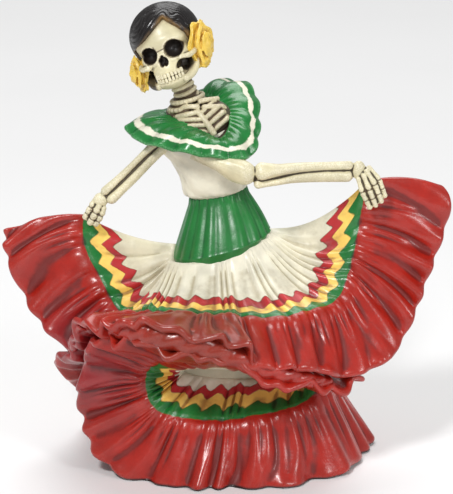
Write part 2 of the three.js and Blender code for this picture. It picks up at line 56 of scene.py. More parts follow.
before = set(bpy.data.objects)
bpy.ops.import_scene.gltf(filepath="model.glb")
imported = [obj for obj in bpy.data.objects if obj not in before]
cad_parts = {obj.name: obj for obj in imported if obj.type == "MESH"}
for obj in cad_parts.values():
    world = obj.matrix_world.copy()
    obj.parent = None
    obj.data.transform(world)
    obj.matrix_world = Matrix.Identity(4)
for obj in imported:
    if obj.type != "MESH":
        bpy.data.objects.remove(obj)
CAD_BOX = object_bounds()
NODE = "dancer_figure"
BODY = "root"
HEIGHT = CAD_BOX[1][2] - CAD_BOX[0][2]
SHARE = HEIGHT / 100
CAMERA = {"elevation": 16, "distance": 0.93, "target": (0, 0, 0.0921), "lens": 155.9}
# The mark that tells the paints how deep in a groove a point lies.
HOLLOW = "hollow"
# The mark for how dark a point is inked, and on the skirt for how bold its zigzag is.
INK = "ink"
# The map that places the bands and the stripe on the cloth.
CLOTH_MAP = "cloth"
BLACK = (0, 0, 0, 1)
# How high the brush marks stand in the paint, in metres.
PAINT_BUMP = 0.00006

# The skirt's ribs, each a line down the cloth: where it leaves the hips, the ruffle's seam and the hem.
# The upper sheet runs from the hand on the viewer's left, across the front, to the other hand.
UPPER_RIBS = [
    [(-11.0, 1.0, 46.6), (-31.0, -1.0, 53.8), (-48.7, 2.0, 49.2)],
    [(-11.2, -1.0, 46.1), (-30.6, -3.6, 47.6), (-47.4, -2.0, 43.9)],
    [(-11.6, -3.0, 45.3), (-27.7, -6.0, 41.9), (-43.6, -5.0, 35.3)],
    [(-11.9, -5.0, 43.8), (-23.2, -10.0, 35.1), (-35.3, -11.0, 27.7)],
    [(-11.7, -6.5, 44.1), (-18.2, -18.5, 36.9), (-30.4, -24.0, 36.5)],
    [(-9.3, -8.0, 44.3), (-13.9, -21.5, 37.6), (-23.2, -31.0, 39.2)],
    [(-5.7, -9.0, 45.3), (-8.2, -22.5, 38.2), (-12.9, -34.0, 39.7)],
    [(-2.2, -9.5, 46.1), (-2.0, -22.5, 38.2), (-2.5, -34.5, 36.5)],
    [(1.2, -9.5, 47.0), (4.5, -22.0, 37.6), (7.3, -33.0, 31.7)],
    [(4.2, -8.5, 48.2), (12.2, -20.5, 37.1), (16.4, -29.0, 27.9)],
    [(5.9, -7.5, 48.8), (17.6, -17.5, 37.5), (23.7, -24.5, 25.2)],
    [(7.2, -6.0, 49.5), (23.1, -13.0, 38.0), (31.7, -18.0, 24.7)],
    [(8.3, -4.0, 49.9), (25.7, -9.5, 41.9), (37.9, -13.5, 29.5)],
    [(9.0, -2.0, 50.2), (27.3, -6.5, 47.0), (43.1, -8.5, 41.8)],
    [(8.9, 0.6, 50.0), (28.6, -5.0, 54.0), (47.6, -4.4, 53.4)],
    [(8.6, 2.0, 49.8), (30.0, -3.4, 62.0), (47.4, -1.0, 60.2)],
]
# The train goes down and round behind, comes forward along the floor and curls up at the left.
TRAIN_RIBS = [
    [(-9.0, -1.0, 43.0), (-22.6, -15.0, 32.6), (-30.6, -22.5, 35.3)],
    [(-9.5, 1.0, 43.0), (-24.8, -8.0, 27.5), (-33.7, -13.0, 27.0)],
    [(-10.0, 3.0, 44.0), (-26.1, -1.0, 21.5), (-37.4, -3.0, 20.7)],
    [(-9.8, 5.0, 45.0), (-22.0, 8.0, 20.0), (-33.5, 5.0, 12.0)],
    [(-7.0, 7.2, 46.0), (-17.5, 14.0, 17.5), (-28.0, 14.0, 0.6)],
    [(-1.0, 8.4, 46.6), (0.0, 17.5, 17.0), (0.0, 23.0, 0.0)],
    [(5.6, 6.2, 47.0), (15.5, 13.5, 17.5), (25.0, 15.0, 0.0)],
    [(9.0, 2.0, 45.0), (21.0, 3.5, 18.5), (32.4, 1.5, 0.2)],
    [(14.0, -6.0, 33.0), (20.8, -9.5, 18.0), (28.8, -11.5, 0.8)],
    [(15.0, -10.0, 21.0), (15.9, -16.0, 15.8), (23.3, -19.5, 0.6)],
    [(9.0, -12.0, 19.5), (7.6, -18.5, 14.3), (12.4, -24.5, 0.0)],
    [(0.0, -12.0, 20.0), (-2.5, -19.0, 13.1), (-4.6, -26.0, 0.0)],
    [(-6.0, -12.0, 20.5), (-12.5, -19.0, 14.3), (-20.2, -21.0, 0.2)],
    [(-9.0, -12.0, 21.0), (-15.9, -18.5, 16.3), (-29.5, -14.0, 5.5)],
    [(-10.0, -12.0, 21.3), (-17.1, -18.0, 19.8), (-32.6, -11.0, 12.7)],
    [(-9.5, -12.0, 21.7), (-16.9, -18.5, 23.1), (-30.5, -17.0, 24.4)],
    [(-9.0, -12.0, 22.0), (-15.1, -20.0, 25.9), (-27.7, -25.0, 33.3)],
    [(-6.0, -12.0, 22.3), (-11.4, -21.5, 27.4), (-20.2, -31.0, 34.2)],
    [(-1.0, -12.0, 22.0), (-4.5, -22.5, 27.6), (-9.5, -33.5, 33.2)],
    [(5.0, -12.0, 21.5), (3.9, -22.0, 26.0), (2.8, -33.0, 28.8)],
    [(11.0, -12.0, 20.5), (11.3, -19.5, 23.3), (13.5, -29.5, 24.3)],
    [(15.5, -11.0, 19.5), (17.4, -16.5, 20.4), (22.8, -24.0, 21.7)],
    [(17.0, -9.0, 21.0), (21.3, -11.0, 19.1), (29.7, -17.0, 22.1)],
]
# sag is at the first and the last rib, lip is where the hem ripples, and wall is where one stands behind.
# narrower and flatter say how much less wide the bands and less high their teeth are at a sheet's middle.
UPPER_SHEET = {
    "ribs": UPPER_RIBS,
    "out": -1,
    "sections": 600,
    "seed": 11,
    "sag": (1.3, 3.4),
    "panel_rows": 29,
    "lip": (0.25, 0.72),
    "narrower": 0.04,
    "flatter": 0.5,
    "wall": None,
}
TRAIN_SHEET = {
    "ribs": TRAIN_RIBS,
    "out": 1,
    "sections": 900,
    "seed": 37,
    "sag": (1.0, 0.0),
    "panel_rows": 15,
    "lip": (0.6, 0.96),
    "narrower": 0.0,
    "flatter": 0.4,
    "wall": (0.16, 0.66),
}
# Places down a sheet, from 0 at the hips to 1 at the hem.
FOLDS_BEGIN = 0.25
SEAM = 0.5
GATHERS_GROW = (SEAM, SEAM + 0.08)
PLEATS_GROW = (0.0, 0.1)
PLEATS_FADE = (0.34, 0.46)
PANEL_FADE = (0.46, 0.56)
FLUTTER_GROWS = (0.55, 1.0)
# How much of the pleats fades, how much of a sheet's run its rounded hem takes, and the ruffle's rows.
PLEATS_LOSS = 0.75
HEM_TURN = 0.021
RUFFLE_ROWS = 27
# Where along the upper sheet the front panel's raised edge rises, and where it sinks again.
PANEL_STEP_RISE = (0.268, 0.273)
PANEL_STEP_FALL = (0.268, 0.428)
# Where along the train the scoop's ceiling begins, and how soon the lips' ripples grow and fade.
CEILING = 0.742
LIP_FADE = 0.06
# The wall's ends, how far it reaches from the cloth to its axis, and the axis itself.
WALL_FADE = 0.05
WALL_REACH = 0.6
WALL_AXIS = (-1.0, -1.0)
# How the folds go together, how blunt a crease and a soft fold's valley are, and a fold's middle height.
FOLDS_PER_RIPPLE = 2.5
GATHERS_PER_FOLD = 2.7
PLEATS_PER_FOLD = 1.1
CREASE = 0.25
SOFT_CREASE = 0.4
MIDDLE = 0.6
GATHER_MIDDLE = 0.55
# The noises in the folds: a middle, a swing, the hills to a fold, and what is added to the sheet's seed.
FOLD_NOISES = {
    "lean": (0, 0.5, 0.6, 0),
    "wander": (0, 0.25, 1.1, 1),
    "swell": (1, 0.35, 0.8, 2),
    "gather wander": (0, 0.16, 2.1, 3),
    "gather end": (0.84, 0.14, 2.16, 4),
    "pleat wander": (0, 1, 0.8, 5),
    "flutter": (0, 0.35, 2.3, 6),
    "gather height": (0.65, 0.5, 1.7, 8),
    "lip wander": (0, 0.6, 0.9, 9),
    "lip height": (0.8, 0.5, 0.8, 12),
}
# A sheet's thicknesses in metres at places from the hips to the hem.
THICK_PLACES = (0, 0.25, SEAM, 0.86, 1)
SHEET_THICKNESSES = (0.009, 0.007, 0.007, 0.0055, 0.0032)
# How a sheet thins to its rounded sides, and the radii of its lower corners, in metres.
SIDE_THICKNESS = 0.0026
SIDE_TAPER = 0.013
CORNER_RADII = (0.0025, 0.0065)
# A sheet's run, the swell below its seam, how far in its sides arch and its gap to the floor, in metres.
SHEET_RUN = 0.15
SEAM_PUFF = 0.0012
ARCH_REACH = 0.02
FLOOR_GAP = 0.0004
# Points in the rounding of a hem or a collar's edge.
ROLL_POINTS = 5
# Where each band begins below the one above it, in band widths from the seam, and how far its teeth reach.
BAND_EDGES = ((-3, 0.45), (-2, 0.42), (-0.95, 0.38), (0, 0.0))
RUFFLE_LEVEL = 2.0
PANEL_LEVEL = -6.0
# The scoop's bands are of unlike widths: how far up from its seam each begins, and its number as above.
SCOOP_BANDS = ((0, 1.45, 2.6, 3.3, 9.3), (0, 0.95, 2, 3, 9))
# Tints on the skirt: the middle and the reach in metres, the tint, and its share.
YELLOWED = (0.5, 0.42, 0.24, 1)
PANEL_STAINS = (
    ((-0.04, -0.006, 0.094), 0.026, YELLOWED, 0.45),
    ((0.04, -0.014, 0.1), 0.02, YELLOWED, 0.2),
)
# On the ruffle: a brown tint at the front, and painted shade in the recesses of the train's curl.
RUFFLE_TINT_AND_SHADE = (
    ((-0.012, -0.064, 0.078), 0.03, (0.17, 0.024, 0.008, 1), 0.55),
    ((-0.063, -0.03, 0.05), 0.026, (0.19, 0.012, 0.025, 1), 0.5),
)

# The solid core behind the skirt, from the floor up: middle x and y, height, half width, half depth, lean.
CORE = [
    (0, -1.2, 0, 27, 21, 0),
    (0, -1.2, 0.6, 27.3, 21.3, 0),
    (-1, 0.5, 6, 25, 18.5, 0),
    (-1.5, 2.0, 13, 21, 15.5, 0),
    (-2, 2.0, 20, 19, 14, 0),
    (-2, 0, 26, 19, 13.5, 0),
    (-1, -4.0, 32, 19, 16, 0),
    (-1, -4.0, 37, 16, 13, 0),
    (-1, -1.5, 42, 11, 9.5, 0),
    (-1, 0, 50, 7, 6, 0),
]
CORE_FOLDS = 24
CORE_FOLD_DEPTH = 0.045
# Where the core shows plain cloth: in the scoop's bowl and high up behind.
BOWL = {"rear": -5, "foot": 14, "top": 28, "half_width": 19}
CORE_REAR = {"front": -4, "foot": 19}
# The roll of cloth that shows between the two hems at the front, and its thickness along its run.
LIP_ROLL = [
    *[(-27, -24, 35.8), (-20, -28.3, 36.6), (-12.9, -30.8, 36.0), (-3, -31.4, 33.5)],
    *[(7, -29.8, 29.0), (16, -26.2, 25.2), (22, -22.5, 23)],
]
LIP_ROLL_RADII = (1.6, 2.4, 2.8, 2.6, 2.2, 1.8, 1.2)
LIP_ROLL_FOLDS = 15
LIP_ROLL_DEPTH = 0.22
# Rings round the body, from the hip up: middle x and y, height, half width, half depth, lean in degrees.
YOKE = [
    (-1.2, -0.8, 43, 9.2, 8.4, 13),
    (-1.2, -0.8, 46.9, 10.8, 9.6, 15),
    (-1.2, -0.8, 48.0, 10.6, 9.4, 15),
    (-1.3, -0.6, 51.5, 9.2, 7.9, 14),
    (-1.5, -0.3, 55, 7.6, 6.3, 12),
    (-1.8, 0, 58.4, 6.1, 5.1, 10),
    (-1.9, 0, 60.4, 5.9, 4.9, 8),
]
BODICE = [
    (-2.2, 0, 58.0, 5.4, 4.5, 8),
    (-2.4, -0.2, 58.9, 6.5, 5.5, 8),
    (-2.6, -0.4, 60.5, 7.0, 6.0, 8),
    (-3.0, -0.6, 63.6, 7.2, 6.2, 10),
    (-3.9, -0.6, 67, 8.0, 6.6, 13),
    (-5.0, -0.4, 71, 9.2, 6.6, 17),
    (-5.2, 0.6, 74.4, 5.8, 4.4, 20),
]
CHEST = {"middle": (-5.2, -1.2, 73.4), "size": (7.0, 5.9, 5.6), "lean": 20}
NECK_ROOT = {"middle": (-8.4, 0.4, 75.4), "size": (4.6, 4.4, 3.4)}
BREASTBONE = [(-5.9, -5.6, 77.2), (-4.2, -6.9, 75.2), (-2.4, -7.6, 72.6)]
# How far the ribs reach to either side of the breastbone, and how steeply they rise from it.
RIB_REACHES = (-5.4, 3.9)
RIB_SLOPE = 0.4
BREASTBONE_RADIUS = 0.75
RIB_RADIUS = 0.52
COLLARBONE_RADIUS = 0.58
COLLARBONES = (
    [(-5.4, -5.6, 77.4), (-8.2, -5.6, 76.7), (-10.8, -3.6, 75.7)],
    [(-5.6, -5.2, 78.2), (-8.0, -4.6, 78.2), (-10.9, -2.0, 77.0)],
    [(-5.2, -5.2, 78.2), (-3.0, -4.6, 78.2), (-0.6, -2.6, 77.8)],
    [(-6.0, -4.4, 79.2), (-4.0, -3.4, 79.4), (-1.6, -1.0, 79.2)],
)
# Rings round the foot of the neck: a middle, and the ring's half width and half depth.
FOOT_RINGS = (((-8.3, -0.4, 79.1), (3.3, 3.1)), ((-8.2, -0.1, 77.6), (3.9, 3.9)))
# What closes the neckline: how far below the line it begins and ends, in metres.
PLUG_DEPTHS = (0.014, 0.0025)
# The collar's pale stripe, in shares of the way from its neckline to its edge.
STRIPE = (0.68, 0.84)
# How far the collar bulges, and in metres how high its gathers are and how far its folds push its edge.
COLLAR_RISE = 1.3
COLLAR_GATHERS = 0.0005
COLLAR_SCALLOP = 0.0012
COLLAR_SECTIONS = 540
COLLAR_ROWS = 30

# The collar's ribs from neckline to edge, from the front round by the viewer's right.
COLLAR_RIBS = [
    [(-1.2, -8.8, 72.1), (-0.1, -12.6, 69.0)],
    [(0.9, -6.5, 74.2), (5.0, -10.0, 69.2)],
    [(0.7, -2.5, 76.3), (6.5, -3.6, 73.4)],
    [(-1.6, 2.5, 78.1), (5.4, 5.8, 79.4)],
    [(-4.5, 5.0, 78.6), (-1.0, 11.0, 79.6)],
    [(-9.0, 4.4, 75.6), (-10.0, 9.0, 73.0)],
    [(-11.6, 1.4, 75.6), (-18.2, 5.6, 72.5)],
    [(-11.2, -2.5, 75.4), (-21.0, -0.5, 72.7)],
    [(-9.0, -6.0, 74.9), (-17.5, -6.8, 71.1)],
    [(-5.0, -8.2, 73.4), (-8.5, -11.8, 70.1)],
]

# Bones: each is a path with a radius at each of its points.
NECK = [(-7.0, 0.8, 74.0), (-7.8, 0.0, 77.8), (-9.2, -0.6, 81.6), (-11.2, 0.4, 86.0)]
NECK_RADIUS = 2.8
ARMS = [
    {"path": [(-6.4, -8.5, 70.0), (-0.3, -11.0, 67.4), (5.9, -13.2, 65.0)], "radii": (1.9, 2.3, 2.6, 2.5)},
    {
        "path": [(6.0, -13.3, 66.1), (10.6, -12.5, 66.3), (16.0, -10.8, 66.6), (26.8, -7.0, 66.1)],
        "radii": (2.0, 1.65, 1.3, 1.05, 0.9, 1.0),
    },
    {
        "path": [(5.8, -12.9, 63.3), (10.4, -12.0, 63.8), (16.0, -10.4, 64.4), (26.6, -6.8, 63.7)],
        "radii": (1.0, 0.9, 1.0, 1.1, 1.2, 1.35),
    },
    {
        "path": [(-13.2, -2.7, 71.5), (-16.2, -3.2, 69.1), (-21.4, -4.1, 64.0), (-26.5, -4.6, 59.2)],
        "radii": (1.6, 0.95, 0.75, 0.72, 0.75, 1.05),
    },
    {
        "path": [(-11.6, -2.5, 70.6), (-14.0, -3.0, 68.4), (-19.7, -3.9, 62.7), (-25.4, -4.4, 57.4)],
        "radii": (2.0, 1.15, 1.0, 0.98, 1.05, 1.5),
    },
]
# A hand's fingers go from the wrist over a knuckle to the tip.
HANDS = [
    {
        "wrist": {"middle": (28.0, -7.2, 65.0), "size": (1.5, 1.2, 2.1)},
        "radius": 0.6,
        "fingers": [
            [(27.8, -8.0, 63.8), (28.7, -8.6, 60.6), (30.5, -8.4, 57.0)],
            [(28.8, -8.2, 64.6), (30.2, -9.0, 61.2), (31.7, -8.7, 57.5)],
            [(29.3, -8.0, 65.4), (31.4, -8.8, 62.3), (32.9, -8.2, 58.3)],
            [(29.8, -7.4, 66.0), (32.3, -8.0, 63.2), (33.7, -7.2, 59.3)],
        ],
    },
    {
        "wrist": {"middle": (-26.9, -4.5, 57.8), "size": (1.6, 1.3, 1.6)},
        "radius": 0.8,
        "fingers": [
            [(-27.6, -4.4, 58.2), (-29.0, -4.6, 56.3), (-30.4, -4.0, 53.6)],
            [(-27.0, -5.0, 57.2), (-28.0, -5.4, 55.2), (-29.4, -4.9, 52.6)],
            [(-26.2, -4.8, 56.6), (-26.8, -5.1, 54.5), (-28.2, -4.6, 52.3)],
        ],
    },
]
# How far the hands' dark gaps reach from the wrist, and how far back the filling between bones lies.
HAND_REACH = 10.0
GAP_DEPTH = 0.45
# The space round the chest and the neck's foot that is inked: its foot, its sides and its rear.
CHEST_FOOT = 71
CHEST_SIDES = (-13.5, 3)
CHEST_REAR = 6

# The head, in shares of the height from its own middle: +X to its left side, -Y out of the face.
HEAD = {"middle": (-12.4, -0.6, 89.4), "roll": 20, "turn": -9, "nod": 6}
# The middle that the skull's forms are blended round, how tightly, and how far that would swell them.
SKULL_HEART = (0, -1, 0)
SKULL_BLEND = 4.0
BLEND_SWELL = 0.08
# How deep the hollows of the cheeks are.
CHEEK_DEPTH = 1.1
# Rows of points from foot to crown and points in a row, of the skull and of the hair.
SKULL_GRID = (150, 220)
HAIR_GRID = (180, 320)
SKULL = [
    {"middle": (0, 1.4, 3.0), "size": (6.8, 7.6, 6.3)},
    {"middle": (0, -3.5, 2.5), "size": (5.5, 3.2, 2.4)},
    {"middle": (0, -2.8, -0.8), "size": (5.4, 4.2, 3.2)},
    {"middle": (0, -4.4, -3.6), "size": (3.4, 3.1, 2.8)},
    {"middle": (0, -3.0, -6.0), "size": (4.0, 4.2, 1.8)},
    {"middle": (0.4, -0.6, -3.2), "size": (4.7, 3.6, 3.6)},
]
# Thin dark lines in the face, each from one place to another as seen from the front.
CREASES = (((-1.1, 0.8), (0.9, 1.1)), ((-5.2, 0.9), (-4.2, 0.4)), ((-0.9, 1.0), (-1.2, 2.0)))
SOCKETS = [
    {"middle": (-2.75, -6.0, 0.5), "size": (1.85, 2.9, 1.8)},
    {"middle": (2.75, -6.0, 0.5), "size": (2.0, 2.9, 1.9)},
    {"middle": (-0.45, -7.2, -1.5), "size": (0.62, 1.9, 1.0)},
    {"middle": (0.4, -7.2, -1.5), "size": (0.62, 1.9, 1.0)},
    {"middle": (0.0, -7.2, -0.9), "size": (0.5, 1.7, 0.9)},
]
CHEEK_HOLLOWS = [
    {"middle": (-4.6, -5.6, -4.2), "size": (1.35, 2.4, 2.1)},
    {"middle": (3.9, -5.2, -3.7), "size": (2.0, 2.4, 1.9)},
]
CHEEKBONE = [(3.2, -6.4, -1.7), (4.6, -5.4, -1.9), (5.7, -3.9, -1.8), (6.5, -1.4, -1.2)]
CHEEKBONE_RADII = (0.7, 0.62, 0.55, 0.6)
JAW = [(2.6, -6.0, -6.3), (4.3, -4.3, -5.9), (5.3, -2.4, -4.6), (5.7, -0.9, -2.2)]
JAW_RADII = (0.8, 0.75, 0.75, 0.7)
GUM = [(-2.6, -6.2, -4.3), (-1.5, -7.1, -4.35), (0, -7.5, -4.35), (1.6, -7.1, -4.3), (2.8, -6.0, -4.2)]
# The rows of teeth: how far below the gum each is set, and the size of its teeth.
TOOTH_ROWS = ((0.0, 0.84), (-0.98, 0.74))
TOOTH = (0.42, 0.32, 0.62)
TOOTH_BOXINESS = 0.6
# What is dark behind the teeth, as seen from the front.
MOUTH = {"middle": (0.2, 0, -4.8), "size": (3.0, 1, 0.95)}
HAIR = {"middle": (0.2, 1.4, 3.3), "size": (7.5, 8.2, 6.9)}
BUN = {"middle": (0, 8.8, -1.4), "size": (3.8, 2.8, 3.4)}
# The locks: the height of the broad and the fine ones, and how many there are to a share.
LOCK_HEIGHTS = (0.14, 0.06)
LOCK_PACES = (1.15, 3.1)
HAIRLINE = [
    *[(-8, 1.8), (-5.3, 2.5), (-3.5, 3.4), (-0.8, 5.1), (2.5, 7.3)],
    *[(4.9, 4.6), (6.0, 2.5), (6.3, 0.5), (8, -1.5)],
]
# The rings of petals from the outer one in: petals fewer, radius, tilt in radians, size and lift.
PETAL_RINGS = (
    (0, 0.3, -0.1, 0.78, -0.5),
    (1, 0.2, -0.5, 0.72, -0.1),
    (2, 0.1, -0.9, 0.56, 0.15),
    (3, 0.04, -1.2, 0.4, 0.35),
)
PETAL_RING_TURN = 0.45
PETAL_SEED = 20
PETAL_THICKNESS = 0.36
PETAL_GRAIN = 0.055
# The bud and what fills the flower behind it: a middle, a size, and how many sides and rows of points.
BUD = (((0, 0, 0.5), (0.2, 0.2, 0.3), 20, 14), ((0, 0, -0.35), (0.62, 0.62, 0.62), 36, 20))
FLOWERS = [
    {"middle": (8.2, -1.2, -1.1), "size": (2.3, 3.4, 5.3), "lean": 15, "turn": -28, "side": 1},
    {"middle": (-7.6, -1.4, -2.3), "size": (2.3, 3.0, 4.2), "lean": 12, "turn": 34, "side": -1},
]
# The colours that settle in the hollows and lie on the crests, where the settings name none.
GREEN_WASH = (0.0, 0.035, 0.012)
CREAM_BRUSH = (0.95, 0.93, 0.85)
# The lamps: a name, a place and a size in metres, and the setting and the factor that give its power.
LAMPS = (
    ("key", (-0.37, -0.78, 0.92), 0.19, "key_power", 1),
    ("fill", (0.75, -0.7, 0.55), 0.25, "fill_power", 1),
    ("top", (0.0, 1.2, 2.4), 1.8, "fill_power", 12),
)
LAMPS_AIM = (0, 0, 0.09)
FLOOR_REACH = 6.0


def spline(points, u, closed=False):
    """Places on a smooth curve through points, at shares u of its run."""
    points = np.asarray(points, float)
    if closed:
        spans = len(points)
        padded = np.vstack([points[-1:], points, points[:2]])
    else:
        spans = len(points) - 1
        padded = np.vstack([2 * points[0] - points[1], points, 2 * points[-1] - points[-2]])
    at = np.clip(u, 0, 1) * spans
    low = np.minimum(at.astype(int), spans - 1)
    w = (at - low)[:, None]
    p0, p1, p2, p3 = (padded[low + step] for step in range(4))
    bend = (2 * p0 - 5 * p1 + 4 * p2 - p3) * w**2 + (3 * p1 - p0 - 3 * p2 + p3) * w**3
    return 0.5 * (2 * p1 + (p2 - p0) * w + bend)


def even_shares(points, count, closed=False):
    """Shares of a curve's run that divide it into equal lengths, and its whole length."""
    u = np.linspace(0, 1, 3001)
    steps = np.linalg.norm(np.diff(spline(points, u, closed), axis=0), axis=1)
    run = np.concatenate([[0], np.cumsum(steps)])
    return np.interp(np.linspace(0, run[-1], count), run, u), run[-1]


def smooth_noise(at, seed, hills=1024):
    """Smooth random values from -1 to 1, a hill or dip to each unit, that repeat after so many hills."""
    values = np.random.default_rng(seed).uniform(-1, 1, hills)
    low = np.floor(at).astype(int)
    w = smoothstep(at - low, 0, 1)
    return values[low % hills] * (1 - w) + values[(low + 1) % hills] * w


def closed_noise(angle, hills, seed):
    """Smooth random values from -1 to 1 that meet themselves after a full turn."""
    return smooth_noise((angle / (2 * np.pi) * hills) % hills, seed, hills)


def smoothstep(value, low, high):
    """0 below low and 1 above high, with a smooth rise between them."""
    share = np.clip((value - low) / (high - low), 0, 1)
    return share * share * (3 - 2 * share)


def window(value, rise, fall, depth=1.0):
    """1 between a rise and a fall, each given by its start and its end. depth is how far it falls."""
    return smoothstep(value, *rise) * (1 - depth * smoothstep(value, *fall))


def hill(value, middle, width):
    """A smooth hill, 1 high at its middle."""
    return np.exp(-(((value - middle) / width) ** 2))


def unit(vectors):
    """The vectors at length 1."""
    return vectors / np.maximum(np.linalg.norm(vectors, axis=-1, keepdims=True), 1e-12)


def crest(turns, blunt=CREASE):
    """1 on the crest of a fold and near 0 in the valley between two."""
    return np.hypot(np.sin(np.pi * turns), blunt) / math.hypot(1, blunt)


def soft_crest(turns):
    """As crest, with a rounder valley."""
    return crest(turns, SOFT_CREASE)


def strip_faces(rings, sides, round_run=False):
    """Four-cornered faces between rings of points that each close on themselves."""
    ring = np.arange(rings if round_run else rings - 1)[:, None]
    side = np.arange(sides)[None, :]
    above = (ring + 1) % rings
    beside = (side + 1) % sides
    corners = (ring * sides + side, ring * sides + beside, above * sides + beside, above * sides + side)
    return np.stack(np.broadcast_arrays(*corners), -1).reshape(-1, 4).tolist()


def skin(rings):
    """A closed skin over rings of points, with a point at each end to close it."""
    count, sides = rings.shape[:2]
    points = np.vstack([rings.reshape(-1, 3), rings[0].mean(0), rings[-1].mean(0)])
    foot = count * sides
    last = foot - sides
    ends = [(foot, (j + 1) % sides, j) for j in range(sides)]
    ends += [(foot + 1, last + j, last + (j + 1) % sides) for j in range(sides)]
    return points, strip_faces(count, sides) + ends


def merge(shells):
    """Several shells as one set of points and faces."""
    faces = []
    start = 0
    for points, shell_faces in shells:
        faces += [tuple(start + corner for corner in face) for face in facing_out(points, shell_faces)]
        start += len(points)
    return np.vstack([points for points, _ in shells]), faces


def ringed_skin(rows, count, sides, wave):
    """A skin over leaning elliptic rings read evenly from rows. wave widens each by a share."""
    heights = np.linspace(0, 1, count)
    x, y, z, half_width, half_depth, lean = spline(rows, heights).T[:, :, None]
    angle = np.linspace(0, 2 * np.pi, sides, endpoint=False)[None]
    swell = 1 + wave(heights[:, None], angle)
    across = half_width * swell * np.cos(angle)
    back = half_depth * swell * np.sin(angle)
    tilt = np.radians(lean)
    return skin(SHARE * np.stack([x + across * np.cos(tilt), y + back, z + across * np.sin(tilt)], -1))


def tube(path, radii, sides=20, steps=48, swell=None):
    """A closed tube with a radius at each point of an even scale, rounded at both ends."""
    u = np.linspace(0, 1, steps)
    middle = spline(path, u)
    along = unit(np.gradient(middle, axis=0))
    upright = np.where(np.abs(along[:, 2:]) > 0.9, (0.0, 1.0, 0.0), (0.0, 0.0, 1.0))
    side = unit(np.cross(along, upright))
    up = np.cross(along, side)
    scale = np.linspace(0, 1, len(radii))
    radius = np.interp(u, scale, radii)
    run = np.concatenate([[0], np.cumsum(np.linalg.norm(np.diff(middle, axis=0), axis=1))])
    to_end = np.minimum(run, run[-1] - run) / radius
    radius = radius * np.sqrt(1 - (1 - np.clip(to_end + 0.12, 0, 1)) ** 2)
    angle = np.linspace(0, 2 * np.pi, sides, endpoint=False)
    reach = radius[:, None] if swell is None else radius[:, None] * (1 + swell(u[:, None], angle[None]))
    spokes = side[:, None] * np.cos(angle)[None, :, None] + up[:, None] * np.sin(angle)[None, :, None]
    return skin(middle[:, None] + spokes * reach[..., None])


def ball(middle, size, sides=40, rows=28):
    """An ellipsoid, as rings from its foot to its crown."""
    return skin(np.asarray(middle) + globe(rows, sides, np.pi / 2) * np.asarray(size))


def globe(rows, sides, start=0.0):
    """Directions in rings from straight down to straight up. start turns each ring away from the front."""
    up = np.linspace(-np.pi / 2, np.pi / 2, rows + 2)[1:-1, None]
    around = start + np.linspace(0, 2 * np.pi, sides, endpoint=False)[None]
    flat = (np.cos(up) * np.sin(around), -np.cos(up) * np.cos(around), np.sin(up))
    return np.stack(np.broadcast_arrays(*flat), -1)


def edge_roll(top, up, out, radius):
    """Points that round an edge, from the last ones of its upper face to its under face."""
    middle = top - up * radius
    angles = np.linspace(0, np.pi, ROLL_POINTS + 2)[1:-1]
    return np.stack([middle + radius * (up * np.cos(a) + out * np.sin(a)) for a in angles], 1)


def facing_out(points, faces):
    """The faces turned round together if they enclose a negative space."""
    corners = points[np.array([face[:3] for face in faces])]
    tall = [face for face in faces if len(face) == 4]
    rest = points[np.array([(face[0], face[2], face[3]) for face in tall])] if tall else corners[:0]
    both = np.concatenate([corners, rest])
    space = np.einsum("ij,ij->i", both[:, 0], np.cross(both[:, 1], both[:, 2])).sum()
    return faces if space > 0 else [face[::-1] for face in faces]


def marks_of(mesh, rounds, depth):
    """Writes each point's place between crest, -1, and groove, 1, to the mesh's hollow attribute."""
    count = len(mesh.vertices)
    points = np.empty(count * 3)
    mesh.vertices.foreach_get("co", points)
    points = points.reshape(-1, 3)
    normals = np.empty(count * 3)
    mesh.vertex_normals.foreach_get("vector", normals)
    ends = np.empty(len(mesh.edges) * 2, int)
    mesh.edges.foreach_get("vertices", ends)
    ends = ends.reshape(-1, 2)
    ends = np.concatenate([ends, ends[:, ::-1]])
    share = np.maximum(np.bincount(ends[:, 0], minlength=count), 1)[:, None]
    level = points.copy()
    for _ in range(rounds):
        pulled = [np.bincount(ends[:, 0], level[ends[:, 1], axis], count) for axis in range(3)]
        level = 0.5 * level + 0.5 * np.stack(pulled, 1) / share
    rise = ((level - points) * normals.reshape(-1, 3)).sum(1)
    mark(mesh, HOLLOW, np.clip(rise / depth, -1, 1))


def mark(mesh, name, values):
    """Writes a value for each point to an attribute of the mesh."""
    mesh.attributes.new(name, "FLOAT", "POINT").data.foreach_set("value", values.astype(np.float32))


def piece(name, shell, coat, mark_rounds=24, mark_depth=0.0005, maps=None, ink=None):
    """Adds a finished piece: its mesh, its marks for the paint, and its place on the figure."""
    points, faces = shell
    old = bpy.data.objects.get(name)
    if old:
        bpy.data.objects.remove(old)
    mesh = bpy.data.meshes.new(name)
    mesh.from_pydata(points.tolist(), [], facing_out(points, faces))
    mesh.shade_smooth()
    if maps is not None:
        layer = mesh.uv_layers.new(name=CLOTH_MAP)
        corners = np.empty(len(mesh.loops), int)
        mesh.loops.foreach_get("vertex_index", corners)
        layer.uv.foreach_set("vector", maps[corners].astype(np.float32).ravel())
    if ink is not None:
        mark(mesh, INK, ink)
    marks_of(mesh, mark_rounds, mark_depth)
    mesh.materials.append(coat)
    made = bpy.data.objects.new(name, mesh)
    bpy.context.scene.collection.objects.link(made)
    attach(made, BODY)
    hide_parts(NODE)


def evaluated_shell(made):
    """The points and faces of an object with its modifiers, which are then taken off it."""
    graph = bpy.context.evaluated_depsgraph_get()
    mesh = bpy.data.meshes.new_from_object(made.evaluated_get(graph))
    made.modifiers.clear()
    points = np.empty(len(mesh.vertices) * 3)
    mesh.vertices.foreach_get("co", points)
    faces = [tuple(face.vertices) for face in mesh.polygons]
    bpy.data.meshes.remove(mesh)
    return points.reshape(-1, 3), faces


